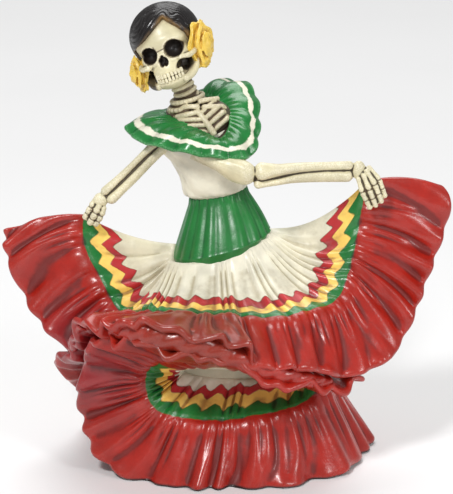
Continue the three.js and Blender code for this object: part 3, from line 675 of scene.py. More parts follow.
def scratch(name, shell, edges=()):
    """An object that is only worked with and then removed."""
    mesh = bpy.data.meshes.new(name)
    faces = facing_out(*shell) if shell[1] else []
    mesh.from_pydata(shell[0].tolist(), list(edges), faces)
    made = bpy.data.objects.new(name, mesh)
    bpy.context.scene.collection.objects.link(made)
    return made


def fused(shells, grain):
    """One skin round several overlapping shells, with facets about a grain wide."""
    made = scratch("fusing", merge(shells))
    remesh = made.modifiers.new("Fuse", "REMESH")
    remesh.mode = "VOXEL"
    remesh.voxel_size = grain
    shell = evaluated_shell(made)
    bpy.data.objects.remove(made)
    return shell


def feed(tree, socket, value):
    """Links a socket to another node, or gives it a value of its own."""
    if isinstance(value, bpy.types.NodeSocket):
        tree.links.new(value, socket)
    else:
        socket.default_value = value


def chance(tree, least, most, seed):
    """A number between least and most that differs from copy to copy."""
    made = tree.nodes.new("FunctionNodeRandomValue")
    limits = [socket for socket in made.inputs if socket.type == "VALUE" and socket.name in ("Min", "Max")]
    seeds = [socket for socket in made.inputs if socket.name == "Seed"]
    for socket, value in zip(limits + seeds, (least, most, seed)):
        feed(tree, socket, value)
    return next(socket for socket in made.outputs if socket.type == "VALUE")


def group(name, kind, inputs, outputs):
    """A new node group with its sockets, and the sockets of its input and output nodes."""
    tree = bpy.data.node_groups.new(name, kind)
    for label, socket_kind, *value in inputs:
        made = tree.interface.new_socket(label, in_out="INPUT", socket_type=f"NodeSocket{socket_kind}")
        if value:
            made.default_value = value[0]
    for label, socket_kind in outputs:
        tree.interface.new_socket(label, in_out="OUTPUT", socket_type=f"NodeSocket{socket_kind}")
    return tree, tree.nodes.new("NodeGroupInput").outputs, tree.nodes.new("NodeGroupOutput").inputs


def finished(tree, copies, coat, end):
    """Ends a tree: its copies become one mesh and get their material."""
    real = node(tree, "GeometryNodeRealizeInstances", {"Geometry": copies.outputs[0]})
    painted = node(tree, "GeometryNodeSetMaterial", {"Geometry": real.outputs[0], "Material": coat})
    tree.links.new(painted.outputs[0], end[0])
    return tree


def row_tree():
    """Copies of one form set evenly along a curve, with their X axis along it."""
    name = "Forms along a curve"
    if name in bpy.data.node_groups:
        return bpy.data.node_groups[name]
    inputs = (("Curve", "Geometry"), ("Form", "Object"), ("Count", "Int"), ("Least Size", "Float"))
    inputs += (("Most Size", "Float"), ("Seed", "Int"), ("Paint", "Material"))
    tree, start, end = group(name, "GeometryNodeTree", inputs, [("Forms", "Geometry")])
    line = node(tree, "GeometryNodeMeshToCurve", {"Mesh": start["Curve"]})
    spaced = node(tree, "GeometryNodeResampleCurve", {"Curve": line.outputs[0], "Count": start["Count"]})
    along = node(tree, "GeometryNodeInputTangent")
    turned = node(tree, "FunctionNodeAlignRotationToVector", {"Vector": along.outputs[0]}, axis="X")
    value = chance(tree, start["Least Size"], start["Most Size"], start["Seed"])
    form = node(tree, "GeometryNodeObjectInfo", {"Object": start["Form"]})
    placed = {"Points": spaced.outputs[0], "Instance": form.outputs["Geometry"], "Scale": value}
    copies = node(tree, "GeometryNodeInstanceOnPoints", {**placed, "Rotation": turned.outputs[0]})
    return finished(tree, copies, start["Paint"], end)


def whorl_tree():
    """Petals set round a ring, each turned outward and tipped up, with a little chance in it."""
    name = "Petals round a ring"
    if name in bpy.data.node_groups:
        return bpy.data.node_groups[name]
    inputs = (("Form", "Object"), ("Count", "Int"), ("Radius", "Float"), ("Tilt", "Float"))
    inputs += (("Size", "Float"), ("Seed", "Int"), ("Paint", "Material"))
    tree, start, end = group(name, "GeometryNodeTree", inputs, [("Petals", "Geometry")])
    ring = node(tree, "GeometryNodeMeshCircle", {"Vertices": start["Count"], "Radius": start["Radius"]})
    petal = node(tree, "GeometryNodeObjectInfo", {"Object": start["Form"]})
    place = node(tree, "GeometryNodeInputPosition")
    turned = node(tree, "FunctionNodeAlignRotationToVector", {"Vector": place.outputs[0]}, axis="X")
    tip = node(tree, "ShaderNodeCombineXYZ", {"Y": start["Tilt"]})
    rotations = {"Rotation": turned.outputs[0], "Rotate By": tip.outputs[0]}
    tipped = node(tree, "FunctionNodeRotateRotation", rotations, rotation_space="LOCAL")
    value = chance(tree, 0.85, 1.15, start["Seed"])
    size = node(tree, "ShaderNodeMath", {0: value, 1: start["Size"]}, operation="MULTIPLY")
    placed = {"Points": ring.outputs[0], "Instance": petal.outputs["Geometry"], "Scale": size.outputs[0]}
    copies = node(tree, "GeometryNodeInstanceOnPoints", {**placed, "Rotation": tipped.outputs[0]})
    return finished(tree, copies, start["Paint"], end)


def node(tree, kind, values=None, **settings):
    """Adds a node with its settings, and gives its inputs values or links."""
    made = tree.nodes.new(kind)
    for label, setting in settings.items():
        setattr(made, label, setting)
    for label, value in (values or {}).items():
        feed(tree, made.inputs[label], value)
    return made


def grown(tree, guide, form, values):
    """The shell that a tree of geometry nodes makes of a form and a guide line."""
    points = np.asarray(guide, float)
    line = scratch("guide", (points, []), [(i, i + 1) for i in range(len(points) - 1)])
    values = {**values, "Form": scratch("form", form)}
    modifier = line.modifiers.new("Grow", "NODES")
    modifier.node_group = tree
    for socket in tree.interface.items_tree:
        if socket.in_out == "INPUT" and socket.name in values:
            modifier[socket.identifier] = values[socket.name]
    shell = evaluated_shell(line)
    bpy.data.objects.remove(line)
    bpy.data.objects.remove(values["Form"])
    return shell


def evenly_along(path, count):
    """Places set evenly along a smooth path."""
    return spline(path, even_shares(path, count)[0])


def rib_lines(ribs, u):
    """The lines of the hips, the seam and the hem at shares u of a sheet's width."""
    return [SHARE * spline([rib[row] for rib in ribs], u) for row in range(3)]


def sheet_without_folds(sheet, u, t):
    """The cloth before its folds: it sags from hip to seam and runs straight on to the hem."""
    hips, seams, hems = (line[:, None] for line in rib_lines(sheet["ribs"], u))
    t = np.atleast_2d(t)[..., None]
    down = np.clip(t / SEAM, 0, 1)
    beyond = np.clip((t - SEAM) / (1 - SEAM), 0, 1)
    point = hips + (seams - hips) * down + (hems - seams) * beyond
    first, last = sheet["sag"]
    depth = SHARE * (first + (last - first) * u)[:, None]
    point[..., 2] -= depth * 4 * (down * (1 - down))[..., 0]
    return point


def sheet_normals(sheet, u, t):
    """The way the outer face of the cloth looks, from places a little to each side and up and down."""
    aside, above = 0.004, 0.06
    across = sheet_without_folds(sheet, np.minimum(u + aside, 1), t)
    across -= sheet_without_folds(sheet, np.maximum(u - aside, 0), t)
    down = sheet_without_folds(sheet, u, np.minimum(t + above, 1))
    down -= sheet_without_folds(sheet, u, np.maximum(t - above, 0))
    return unit(np.cross(across, down)) * sheet["out"]


def sheet_relief(sheet, sizes, u, t, share, turns):
    """How far folds, gathers and ripples lift the cloth, and how far the folds push past the hem."""
    noises = {}
    for name, (middle, swing, pace, step) in FOLD_NOISES.items():
        noises[name] = (middle + swing * smooth_noise(turns * pace, sheet["seed"] + step))[:, None]
    upper = sheet is UPPER_SHEET
    turns = turns[:, None]
    fullness = np.clip((t - FOLDS_BEGIN) / (1 - FOLDS_BEGIN), 0, 1)[None]
    ripple = sizes.ripple_depth * fullness**2 * np.sin(2 * np.pi * turns / FOLDS_PER_RIPPLE)
    droop = sizes.fold_droop * (-np.cos(np.pi * share) if upper else 0.4 * np.sin(3 * np.pi * share))
    phase = turns + noises["wander"] + (noises["lean"] + droop[:, None]) * fullness**2.6
    folded = soft_crest(phase) - MIDDLE
    fold = sizes.fold_depth * fullness * noises["swell"] * folded

    end = noises["gather end"]
    gathered = window(t[None], GATHERS_GROW, (end - 0.2, end + 0.1)) * noises["gather height"]
    gather = soft_crest(GATHERS_PER_FOLD * (phase + noises["gather wander"])) - GATHER_MIDDLE
    gather = sizes.gather_depth * gathered * gather

    panel = window(t, PLEATS_GROW, PLEATS_FADE, PLEATS_LOSS)[None]
    pleat = crest(PLEATS_PER_FOLD * turns + noises["pleat wander"]) - MIDDLE
    pleat = sizes.pleat_depth * panel * pleat
    if upper:
        step = window(u, PANEL_STEP_RISE, PANEL_STEP_FALL)[:, None]
        pleat = pleat + sizes.panel_lift * step * (1 - smoothstep(t, *PANEL_FADE))[None]

    first, last = sheet["lip"]
    lip = window(u, (first, first + LIP_FADE), (last, last + LIP_FADE))[:, None]
    waves = np.sin(2 * np.pi * (PLEATS_PER_FOLD * turns + noises["lip wander"])) * noises["lip height"]
    flutter = sizes.fold_depth * noises["flutter"] + sizes.lip_depth * lip * waves
    flutter = flutter * fullness**3 * smoothstep(t, *FLUTTER_GROWS)[None]
    puff = SEAM_PUFF * (0.5 * hill(t, SEAM + 0.07, 0.05) - 0.6 * hill(t, SEAM, 0.012))
    return ripple + fold + gather + pleat + flutter + puff[None], sizes.scallop * fullness**4 * folded


def walled(point, inner, u, wall):
    """The inner face of a sheet, set back towards an axis where a wall fills the space behind it."""
    start, end = wall
    inside = smoothstep(u, start, start + WALL_FADE) - smoothstep(u, end, end + WALL_FADE)
    axis = point.copy()
    axis[..., :2] = np.array(WALL_AXIS) * SHARE
    deep = point + (axis - point) * WALL_REACH
    return inner + (deep - inner) * inside[:, None, None]


def band_map(sheet, sizes, u, t, share, sides):
    """Each point's place along the seam in teeth, and its level below the seam in band widths."""
    hips, seams, hems = rib_lines(sheet["ribs"], u)
    steps = np.concatenate([[0], np.linalg.norm(np.diff(seams, axis=0), axis=1)])
    tooth = sizes.tooth_width * (1 - 0.12 * (np.abs(share - 0.45) < 0.2))
    band = sizes.band_width * (1 - sheet["narrower"] * hill(share, 0.47, 0.2))
    above = np.linalg.norm(seams - hips, axis=1)[:, None] * (t[None] - SEAM) / SEAM
    below = np.linalg.norm(hems - seams, axis=1)[:, None] * (t[None] - SEAM) / (1 - SEAM)
    level = np.where(t[None] < SEAM, above, below) / band[:, None]
    if sheet is TRAIN_SHEET:
        level = np.where(level < 0, -np.interp(-level, *SCOOP_BANDS), level)
        level = np.where((u[:, None] > CEILING) & (t[None] > 0.1), RUFFLE_LEVEL, level)
    maps = np.full((len(u), sides, 2), RUFFLE_LEVEL)
    maps[..., 0] = np.cumsum(steps / tooth)[:, None]
    maps[:, : len(t), 1] = level
    maps[:, -len(t) :, 1] = level[:, ::-1]
    return maps.reshape(-1, 2)


def cloth(sheet, sizes):
    """A ruffled sheet with both faces, a rounded hem and thin sides, its map, and how bold its teeth are."""
    sections = sheet["sections"]
    u, length = even_shares([rib[2] for rib in sheet["ribs"]], sections)
    share = np.linspace(0, 1, sections)
    turns = round(length * SHARE / sizes.fold_width) * share
    panel_t = np.linspace(0, SEAM, sheet["panel_rows"])[:-1]
    t = np.concatenate([panel_t, np.linspace(SEAM, 1 - HEM_TURN, RUFFLE_ROWS)])
    from_side = (np.minimum(share, 1 - share) * length * SHARE)[:, None]
    radius = np.where(share < 0.5, *CORNER_RADII)[:, None]
    corner = 1 - np.sqrt(1 - (1 - np.clip(from_side / radius, 0, 1)) ** 2)
    cut = 1 - corner * radius / SHEET_RUN * 2
    place = np.where(t[None] > SEAM, SEAM + (t[None] - SEAM) * cut, t[None])
    normal = sheet_normals(sheet, u, place)
    point = sheet_without_folds(sheet, u, place)
    if sheet is UPPER_SHEET:
        arch = np.sin(np.pi * np.clip((t - SEAM) / (1 - SEAM), 0, 1))[None]
        point[..., 2] += sizes.side_arch * arch * (1 - smoothstep(from_side, 0.0, ARCH_REACH))
    lift, push = sheet_relief(sheet, sizes, u, t, share, turns)
    _, seams, hems = rib_lines(sheet["ribs"], u)
    reach = unit(hems - seams)[:, None]
    point = point + normal * lift[..., None] + reach * push[..., None]

    thick = np.interp(t, THICK_PLACES, SHEET_THICKNESSES)[None]
    thick = SIDE_THICKNESS + (thick - SIDE_THICKNESS) * smoothstep(from_side, 0.0, SIDE_TAPER)
    rounding = np.sqrt(1 - (1 - np.clip(from_side / (SIDE_THICKNESS / 2), 0.02, 1)) ** 2)
    point = point - normal * (thick * (1 - rounding) / 2)[..., None]
    thick = thick * rounding
    inner = point - normal * thick[..., None]
    if sheet["wall"]:
        inner = walled(point, inner, u, sheet["wall"])
    hem_radius = np.minimum(thick[:, -1], HEM_TURN * SHEET_RUN)[:, None] / 2
    roll = edge_roll(point[:, -1], normal[:, -1], reach[:, 0], hem_radius)
    rings = np.concatenate([point, roll, inner[:, ::-1]], 1)
    lowest = np.full(rings.shape[1], FLOOR_GAP)
    lowest[: len(t)] = 0.0
    rings[..., 2] = np.maximum(rings[..., 2], lowest[None])

    sides = rings.shape[1]
    faces = strip_faces(sections, sides) + sheet_ends(sections, sides)
    boldness = 1 - sheet["flatter"] * hill(share, 0.5, 0.2)
    maps = band_map(sheet, sizes, u, t, share, sides)
    return (rings.reshape(-1, 3), faces), maps, np.repeat(boldness, sides)


def sheet_ends(sections, sides):
    """Faces that close the first and the last section of a sheet."""
    last = (sections - 1) * sides
    faces = []
    for j in range(sides // 2):
        near, far = j + 1, sides - 2 - j
        start = (near, j, sides - 1 - j, far) if near != far else (near, j, sides - 1 - j)
        faces += [start, tuple(last + corner for corner in reversed(start))]
    return faces


def colour_mix(tree, share, first, second, blend="MIX"):
    """The colour between two others at a share of the way."""
    values = {0: share, 6: first, 7: second}
    return node(tree, "ShaderNodeMix", values, data_type="RGBA", blend_type=blend).outputs[2]


def sum_of(tree, operation, *values):
    """The result of one sum of values or links."""
    return node(tree, "ShaderNodeMath", dict(enumerate(values)), operation=operation).outputs[0]


def read_mark(tree, name):
    """The value of one of the mesh's marks."""
    return node(tree, "ShaderNodeAttribute", attribute_name=name).outputs["Fac"]


def read_map(tree):
    """The two numbers of the cloth's map."""
    place = node(tree, "ShaderNodeUVMap", uv_map=CLOTH_MAP).outputs[0]
    return node(tree, "ShaderNodeSeparateXYZ", {0: place}).outputs


def mask_between(tree, value, low, high):
    """0 below low, 1 above high, with a smooth rise between them."""
    limits = {"Value": value, "From Min": low, "From Max": high}
    return node(tree, "ShaderNodeMapRange", limits, interpolation_type="SMOOTHSTEP").outputs[0]


def noise(tree, size, detail=3.0):
    """Noise in the piece's own space, with patches about as wide as size in metres."""
    place = node(tree, "ShaderNodeTexCoord").outputs["Object"]
    values = {"Vector": place, "Scale": 1 / size, "Detail": detail, "Roughness": 0.55}
    return node(tree, "ShaderNodeTexNoise", values).outputs[0]


def aged_paint():
    """Paint darker in the hollows, where a wash lies, and lighter on the crests, where paint is brushed
    over. In the skirt's folds the dark is also painted shade, and on the hair the light crests are also a
    painted highlight.
    """
    name = "Aged paint"
    if name in bpy.data.node_groups:
        return bpy.data.node_groups[name]
    inputs = [(label, "Color", BLACK) for label in ("Colour", "Wash", "Brush")]
    inputs += [("Wash Share", "Float", 0.8), ("Brush Share", "Float", 0.5)]
    outputs = [("Colour", "Color"), ("Settled And Shaded", "Float"), ("Height", "Float")]
    tree, start, end = group(name, "ShaderNodeTree", inputs, outputs)
    hollow = read_mark(tree, HOLLOW)
    patches = noise(tree, 0.009)
    blots = noise(tree, 0.0026)
    grain = noise(tree, 0.0006, 2.0)
    uneven = sum_of(tree, "MULTIPLY_ADD", blots, 0.5, -0.25)
    # A dark wash in the hollows; in the skirt's folds it is also painted shade.
    settled_and_shaded = mask_between(tree, sum_of(tree, "ADD", hollow, uneven), 0.0, 0.62)
    washed_and_shaded = sum_of(tree, "MULTIPLY", settled_and_shaded, start["Wash Share"])
    colour = colour_mix(tree, washed_and_shaded, start["Colour"], start["Wash"])
    # Lighter paint brushed over the crests; on the hair it is also a painted highlight.
    raised = mask_between(tree, sum_of(tree, "SUBTRACT", uneven, hollow), 0.12, 0.8)
    dragged_and_highlit = sum_of(tree, "MULTIPLY", raised, mask_between(tree, grain, 0.38, 0.62))
    dragged_and_highlit = sum_of(tree, "MULTIPLY", dragged_and_highlit, start["Brush Share"])
    colour = colour_mix(tree, dragged_and_highlit, colour, start["Brush"])
    shade = sum_of(tree, "MULTIPLY_ADD", mask_between(tree, patches, 0.3, 0.7), 0.22, 0.86)
    level = node(tree, "ShaderNodeCombineXYZ", {0: shade, 1: shade, 2: shade}).outputs[0]
    tree.links.new(colour_mix(tree, 1.0, colour, level, "MULTIPLY"), end["Colour"])
    tree.links.new(settled_and_shaded, end["Settled And Shaded"])
    tree.links.new(sum_of(tree, "MULTIPLY_ADD", blots, 2.0, grain), end["Height"])
    return tree


def zigzag_bands():
    """The skirt's painted bands by their level from the seam, and how each ages, with painted shade in the
    folds.
    """
    name = "Zigzag bands"
    if name in bpy.data.node_groups:
        return bpy.data.node_groups[name]
    bands = ("Panel", "Upper Band", "Middle Band", "Lower Band", "Ruffle")
    inputs = [(label, "Color", BLACK) for label in (*bands, "Panel Wash")]
    outputs = [(label, "Color") for label in ("Colour", "Wash", "Brush")]
    outputs += [(label, "Float") for label in ("Painted", "Relief")]
    tree, start, end = group(name, "ShaderNodeTree", inputs, outputs)
    parts = read_map(tree)
    wander = sum_of(tree, "MULTIPLY_ADD", noise(tree, 0.004), 0.5, -0.25)
    across = sum_of(tree, "MULTIPLY_ADD", wander, 0.35, parts[0])
    sharp = sum_of(tree, "MULTIPLY_ADD", sum_of(tree, "PINGPONG", across, 0.5), 2.4, -0.6)
    turned = sum_of(tree, "MULTIPLY", across, 2 * math.pi)
    tooth = sum_of(tree, "MULTIPLY_ADD", sum_of(tree, "COSINE", turned), -0.4, sharp)
    tooth = sum_of(tree, "MULTIPLY", tooth, read_mark(tree, INK))
    level = sum_of(tree, "MULTIPLY_ADD", wander, 0.6, parts[1])
    colour = start["Panel"]
    masks = []
    lines = []
    for band, (edge, reach) in zip(bands[1:], BAND_EDGES):
        toothed = sum_of(tree, "MULTIPLY_ADD", tooth, reach, level)
        mask = mask_between(tree, toothed, edge - 0.05, edge + 0.05)
        colour = colour_mix(tree, mask, colour, start[band])
        masks.append(mask)
        off = sum_of(tree, "ABSOLUTE", sum_of(tree, "SUBTRACT", toothed, edge))
        lines.append(mask_between(tree, off, 0.1, 0.0))
    outline = sum_of(tree, "MAXIMUM", sum_of(tree, "MAXIMUM", lines[0], lines[1]), lines[2])
    colour = colour_mix(tree, sum_of(tree, "MULTIPLY", outline, 0.4), colour, (0.06, 0.035, 0.015, 1))
    plain = sum_of(tree, "SUBTRACT", 1.0, masks[0])
    # Stains on the panel; on the ruffle a brown tint, and painted shade in the recesses of the train's curl.
    for tints_and_shade, mask in ((PANEL_STAINS, plain), (RUFFLE_TINT_AND_SHADE, masks[-1])):
        for middle, reach, tint, share in tints_and_shade:
            colour = tinted(tree, colour, middle, reach, tint, mask, share)
    tree.links.new(colour, end["Colour"])
    tree.links.new(sum_of(tree, "ADD", masks[0], sum_of(tree, "MULTIPLY", masks[1], -0.5)), end["Relief"])
    # The bands' and the ruffle's colour darkened: a wash in the hollows that in the folds is also painted
    # shade.
    dark = colour_mix(tree, 1.0, colour, (0.25, 0.13, 0.16, 1), "MULTIPLY")
    tree.links.new(colour_mix(tree, masks[0], start["Panel Wash"], dark), end["Wash"])
    tree.links.new(colour_mix(tree, 0.2, colour, (0.9, 0.5, 0.4, 1)), end["Brush"])
    tree.links.new(masks[0], end["Painted"])
    return tree


def tinted(tree, colour, middle, reach, tint, mask, share):
    """The colour with a tint round one place on the figure, where the mask allows it."""
    place = node(tree, "ShaderNodeTexCoord").outputs["Object"]
    away = node(tree, "ShaderNodeVectorMath", {0: place, 1: middle}, operation="DISTANCE").outputs["Value"]
    near = mask_between(tree, away, reach * 1.35, reach * 0.45)
    blotchy = sum_of(tree, "MULTIPLY", near, mask_between(tree, noise(tree, 0.007), 0.0, 0.5))
    amount = sum_of(tree, "MULTIPLY", sum_of(tree, "MULTIPLY", blotchy, mask), share)
    return colour_mix(tree, amount, colour, tint)


def grouped(tree, group_tree, values):
    """The outputs of a node group with values or links for its inputs."""
    return node(tree, "ShaderNodeGroup", values, node_tree=group_tree).outputs


def aged(tree, colours, shares):
    """The outputs of aged paint, for its colour, wash and brush, and how much shows of the last two."""
    values = dict(zip(("Colour", "Wash", "Brush"), colours))
    return grouped(tree, aged_paint(), {**values, "Wash Share": shares[0], "Brush Share": shares[1]})


def rgba(colour):
    """A colour with nothing of it see-through."""
    return (*colour, 1)


def paint(name, make, gloss, coat, bend=1.5):
    """A paint: make puts together the colour, the roughness and the height of its surface."""
    made = bpy.data.materials.get(name) or bpy.data.materials.new(name)
    made.use_nodes = True
    tree = made.node_tree
    tree.nodes.clear()
    colour, roughness, height = make(tree)
    lifted = node(tree, "ShaderNodeBump", {"Height": height, "Strength": 1.0, "Distance": PAINT_BUMP})
    values = {"Base Color": colour, "Normal": lifted.outputs[0], "Coat Weight": coat}
    values |= {"Roughness": roughness, "Coat Roughness": gloss, "IOR": bend}
    shader = node(tree, "ShaderNodeBsdfPrincipled", values)
    end = tree.nodes.new("ShaderNodeOutputMaterial")
    tree.links.new(shader.outputs[0], end.inputs[0])
    return made


def plain_paint(colour, wash, brush, shares, roughness):
    """What a one-coloured paint is put together from."""
    def make(tree):
        coat = aged(tree, map(rgba, (colour, wash, brush)), shares)
        rough = sum_of(tree, "MULTIPLY_ADD", coat["Settled And Shaded"], 0.25, roughness)
        return coat["Colour"], rough, coat["Height"]

    return make


def skirt_paint(paints):
    """The skirt's paint: its bands over the plain panel and the ruffle, and a dark line along the floor."""
    def make(tree):
        values = {"Panel": rgba(paints.cream), "Upper Band": rgba(paints.band_red)}
        values |= {"Middle Band": rgba(paints.yellow), "Lower Band": rgba(paints.green)}
        values |= {"Ruffle": rgba(paints.red), "Panel Wash": rgba(paints.cream_wash)}
        bands = grouped(tree, zigzag_bands(), values)
        # The wash in the ruffle's folds is also painted shade.
        coat = aged(tree, (bands["Colour"], bands["Wash"], bands["Brush"]), (0.72, 0.16))
        dull = sum_of(tree, "MULTIPLY_ADD", bands["Painted"], -0.16, 0.46)
        rough = sum_of(tree, "MULTIPLY_ADD", coat["Settled And Shaded"], 0.2, dull)
        place = node(tree, "ShaderNodeSeparateXYZ", {0: node(tree, "ShaderNodeTexCoord").outputs["Object"]})
        foot = mask_between(tree, place.outputs[2], 0.0004, 0.0016)
        height = sum_of(tree, "MULTIPLY_ADD", bands["Relief"], 6.0, coat["Height"])
        return colour_mix(tree, foot, (0.01, 0.008, 0.008, 1), coat["Colour"]), rough, height

    return paint("skirt_paint", make, 0.12, 0.18)


def knobbly(u, angle):
    """The uneven shaft of a bone, as a share of its radius."""
    return 0.06 * np.sin(3 * angle + 5 * u) + 0.05 * np.sin(2 * angle - 11 * u)


def rippled(u, angle):
    """The folds of the roll between the hems, as a share of its radius."""
    turns = LIP_ROLL_FOLDS * u + 0.35 * np.sin(2 * angle) + 0.2 * np.sin(9 * u)
    return LIP_ROLL_DEPTH * (soft_crest(turns) - MIDDLE)


def underfolds(height, angle):
    """The folds of the core, which shows as an underskirt at the left, as a share of its width."""
    turns = CORE_FOLDS * angle / (2 * np.pi) + 0.5 * closed_noise(angle, 9, 81)
    return CORE_FOLD_DEPTH * (soft_crest(turns) - 1) * (1 - smoothstep(height, 0.28, 0.42))


def ribcage_heart():
    """The dark body of the chest that shows between the ribs."""
    points, faces = ball((0, 0, 0), CHEST["size"], 60, 40)
    lean = math.radians(-CHEST["lean"])
    x, y, z = points.T
    turned = [x * math.cos(lean) + z * math.sin(lean), y, z * math.cos(lean) - x * math.sin(lean)]
    return np.stack(turned, -1) + np.array(CHEST["middle"]), faces


def foot_rings():
    """The lines of the rings round the foot of the neck."""
    angle = np.linspace(0, 2 * np.pi, 13)
    rounds = []
    for middle, (half_width, half_depth) in FOOT_RINGS:
        ring = [half_width * np.cos(angle), half_depth * np.sin(angle), 0.25 * half_width * np.cos(angle)]
        rounds.append(np.array(middle) + np.stack(ring, -1))
    return rounds


def off_the_bones(points, bones):
    """How far each point stands off the nearest of several bones, each a path and a radius."""
    off = np.full(len(points), 1e9)
    for path, radius in bones:
        for place in spline(path, np.linspace(0, 1, 24)):
            off = np.minimum(off, np.linalg.norm(points - place, axis=1) - radius)
    return off


def dark_between(points, pairs):
    """Where the body of the chest, what lies behind the neck and the gaps of the hands show dark."""
    bones = [(NECK, NECK_RADIUS), (BREASTBONE, BREASTBONE_RADIUS)]
    bones += [(path, COLLARBONE_RADIUS) for path in (*COLLARBONES, *foot_rings())]
    bones += [(path, RIB_RADIUS) for path in rib_paths(pairs)]
    x, y, z = points.T
    chest = (z > CHEST_FOOT) & (x > CHEST_SIDES[0]) & (x < CHEST_SIDES[1]) & (y < CHEST_REAR)
    dark = chest * (0.16 + 0.76 * smoothstep(off_the_bones(points, bones), 0.02, 0.26))
    for hand in HANDS:
        wrist = hand["wrist"]["middle"]
        bones = [(finger, hand["radius"]) for finger in hand["fingers"]]
        bones += [([wrist, wrist], max(hand["wrist"]["size"])), *((bone["path"], 1.6) for bone in ARMS)]
        near = np.linalg.norm(points - np.array(wrist), axis=1) < HAND_REACH
        dark = np.maximum(dark, 0.95 * near * smoothstep(off_the_bones(points, bones), 0.12, 0.3))
        for start, knuckle, tip in np.array(hand["fingers"], float):
            for place, way in ((knuckle, tip - start), (0.5 * (knuckle + tip), tip - knuckle)):
                close = np.linalg.norm(points - place, axis=1) < 1.7 * hand["radius"]
                off = np.abs((points - place) @ unit(way))
                dark = np.maximum(dark, 0.85 * close * (1 - smoothstep(off, 0.06, 0.2)))
    return dark


def shoulders():
    """What closes the neckline round the ribs, down to the arms."""
    line = np.array([rib[0] for rib in COLLAR_RIBS], float)
    rings = [spline(line, np.linspace(0, 1, 120, endpoint=False), True) for _ in range(2)]
    for ring, depth in zip(rings, PLUG_DEPTHS):
        ring[:, 2] -= depth / SHARE
    return skin(np.stack([rings[0] + (rings[1] - rings[0]) * share for share in np.linspace(0, 1, 8)]))


def rib_paths(pairs):
    """The ribs' lines, which follow the body of the chest to both sides of the breastbone."""
    lean = math.radians(CHEST["lean"])
    middle, size = np.array(CHEST["middle"]), np.array(CHEST["size"])
    paths = []
    for x, _, z in spline(BREASTBONE, (np.arange(pairs) + 0.4) / pairs) - middle:
        for reach in RIB_REACHES:
            out = np.linspace(0, reach, 7)
            across = x * math.cos(lean) + z * math.sin(lean) + out
            across = np.clip(across, -0.93 * size[0], 0.86 * size[0])
            up = z * math.cos(lean) - x * math.sin(lean) + RIB_SLOPE * np.abs(out) - 0.03 * out**2
            front = -size[1] * np.sqrt(np.maximum(1 - (across / size[0]) ** 2 - (up / size[2]) ** 2, 0.02))
            aside = across * math.cos(lean) - up * math.sin(lean)
            above = across * math.sin(lean) + up * math.cos(lean)
            paths.append(middle + np.stack([aside, front, above], -1))
    return paths


def finger_bones(hand):
    """A wrist and its fingers, each a row of bones that bends round the cloth, and what fills their gaps."""
    made = [ball(hand["wrist"]["middle"], hand["wrist"]["size"], 20, 12)]
    wide = hand["radius"]
    fingers = [np.array(finger, float) for finger in hand["fingers"]]
    for i, (start, knuckle, tip) in enumerate(fingers):
        made.append(tube([start, (start + knuckle) / 2, knuckle], (wide, 0.85 * wide, 1.1 * wide), 14, 20))
        bend = (knuckle + tip) / 2 + np.array((0, -0.3, 0))
        run = spline([knuckle, bend, tip], np.linspace(0.27, 0.78, 24))
        half = 0.53 * np.linalg.norm(np.diff(run, axis=0), axis=1).sum()
        bone = tube([(-half, 0, 0), (0, 0, 0), (half, 0, 0)], (1.05 * wide, 0.85 * wide, wide), 14, 20)
        row = {"Count": 2, "Least Size": 0.97, "Most Size": 1.03, "Seed": i}
        made.append(grown(row_tree(), run, bone, row))
    for one, other in zip(fingers, fingers[1:]):
        between = (one + other) / 2 + np.array((0, GAP_DEPTH, 0))
        made.append(tube(between, (wide, 0.9 * wide, 0.7 * wide), 14, 24))
    return made


def head_turn():
    """The turn from the head's own axes to the figure's."""
    nod, roll, turn = (math.radians(HEAD[part]) for part in ("nod", "roll", "turn"))
    pitch = Euler((-nod, 0, 0)).to_matrix()
    return Euler((0, -roll, 0)).to_matrix() @ pitch @ Euler((0, 0, turn)).to_matrix()


def posed(shell):
    """A shell of the head, from its own shares to its place on the figure."""
    turned = shell[0] @ np.array(head_turn()).T + np.array(HEAD["middle"])
    return turned * SHARE, shell[1]


def skull_reach(heading):
    """How far the skull reaches from its heart in each direction, with its forms blended."""
    reaches = []
    for form in SKULL:
        scale = np.array(form["size"], float)
        start = (np.array(SKULL_HEART) - np.array(form["middle"])) / scale
        way = heading / scale
        a = (way**2).sum(-1)
        b = (way * start).sum(-1)
        inside = b * b - a * ((start**2).sum() - 1)
        reaches.append(np.where(inside > 0, (np.sqrt(np.maximum(inside, 0)) - b) / a, 0))
    stack = np.stack(reaches)
    most = stack.max(0)
    return most + np.log(np.exp(SKULL_BLEND * (stack - most)).sum(0)) / SKULL_BLEND - BLEND_SWELL


def off_segment(places, start, end):
    """How far each flat place is from the line between two others."""
    way = end - start
    share = np.clip(((places - start) @ way) / (way @ way), 0, 1)
    return np.linalg.norm(places - start - share[..., None] * way, axis=-1)


def in_hole(points, hole):
    """How far each point is from a hole's middle as seen from the front, in its own half widths."""
    x, z = ((points[:, axis] - hole["middle"][axis]) / hole["size"][axis] for axis in (0, 2))
    return np.hypot(x, z)


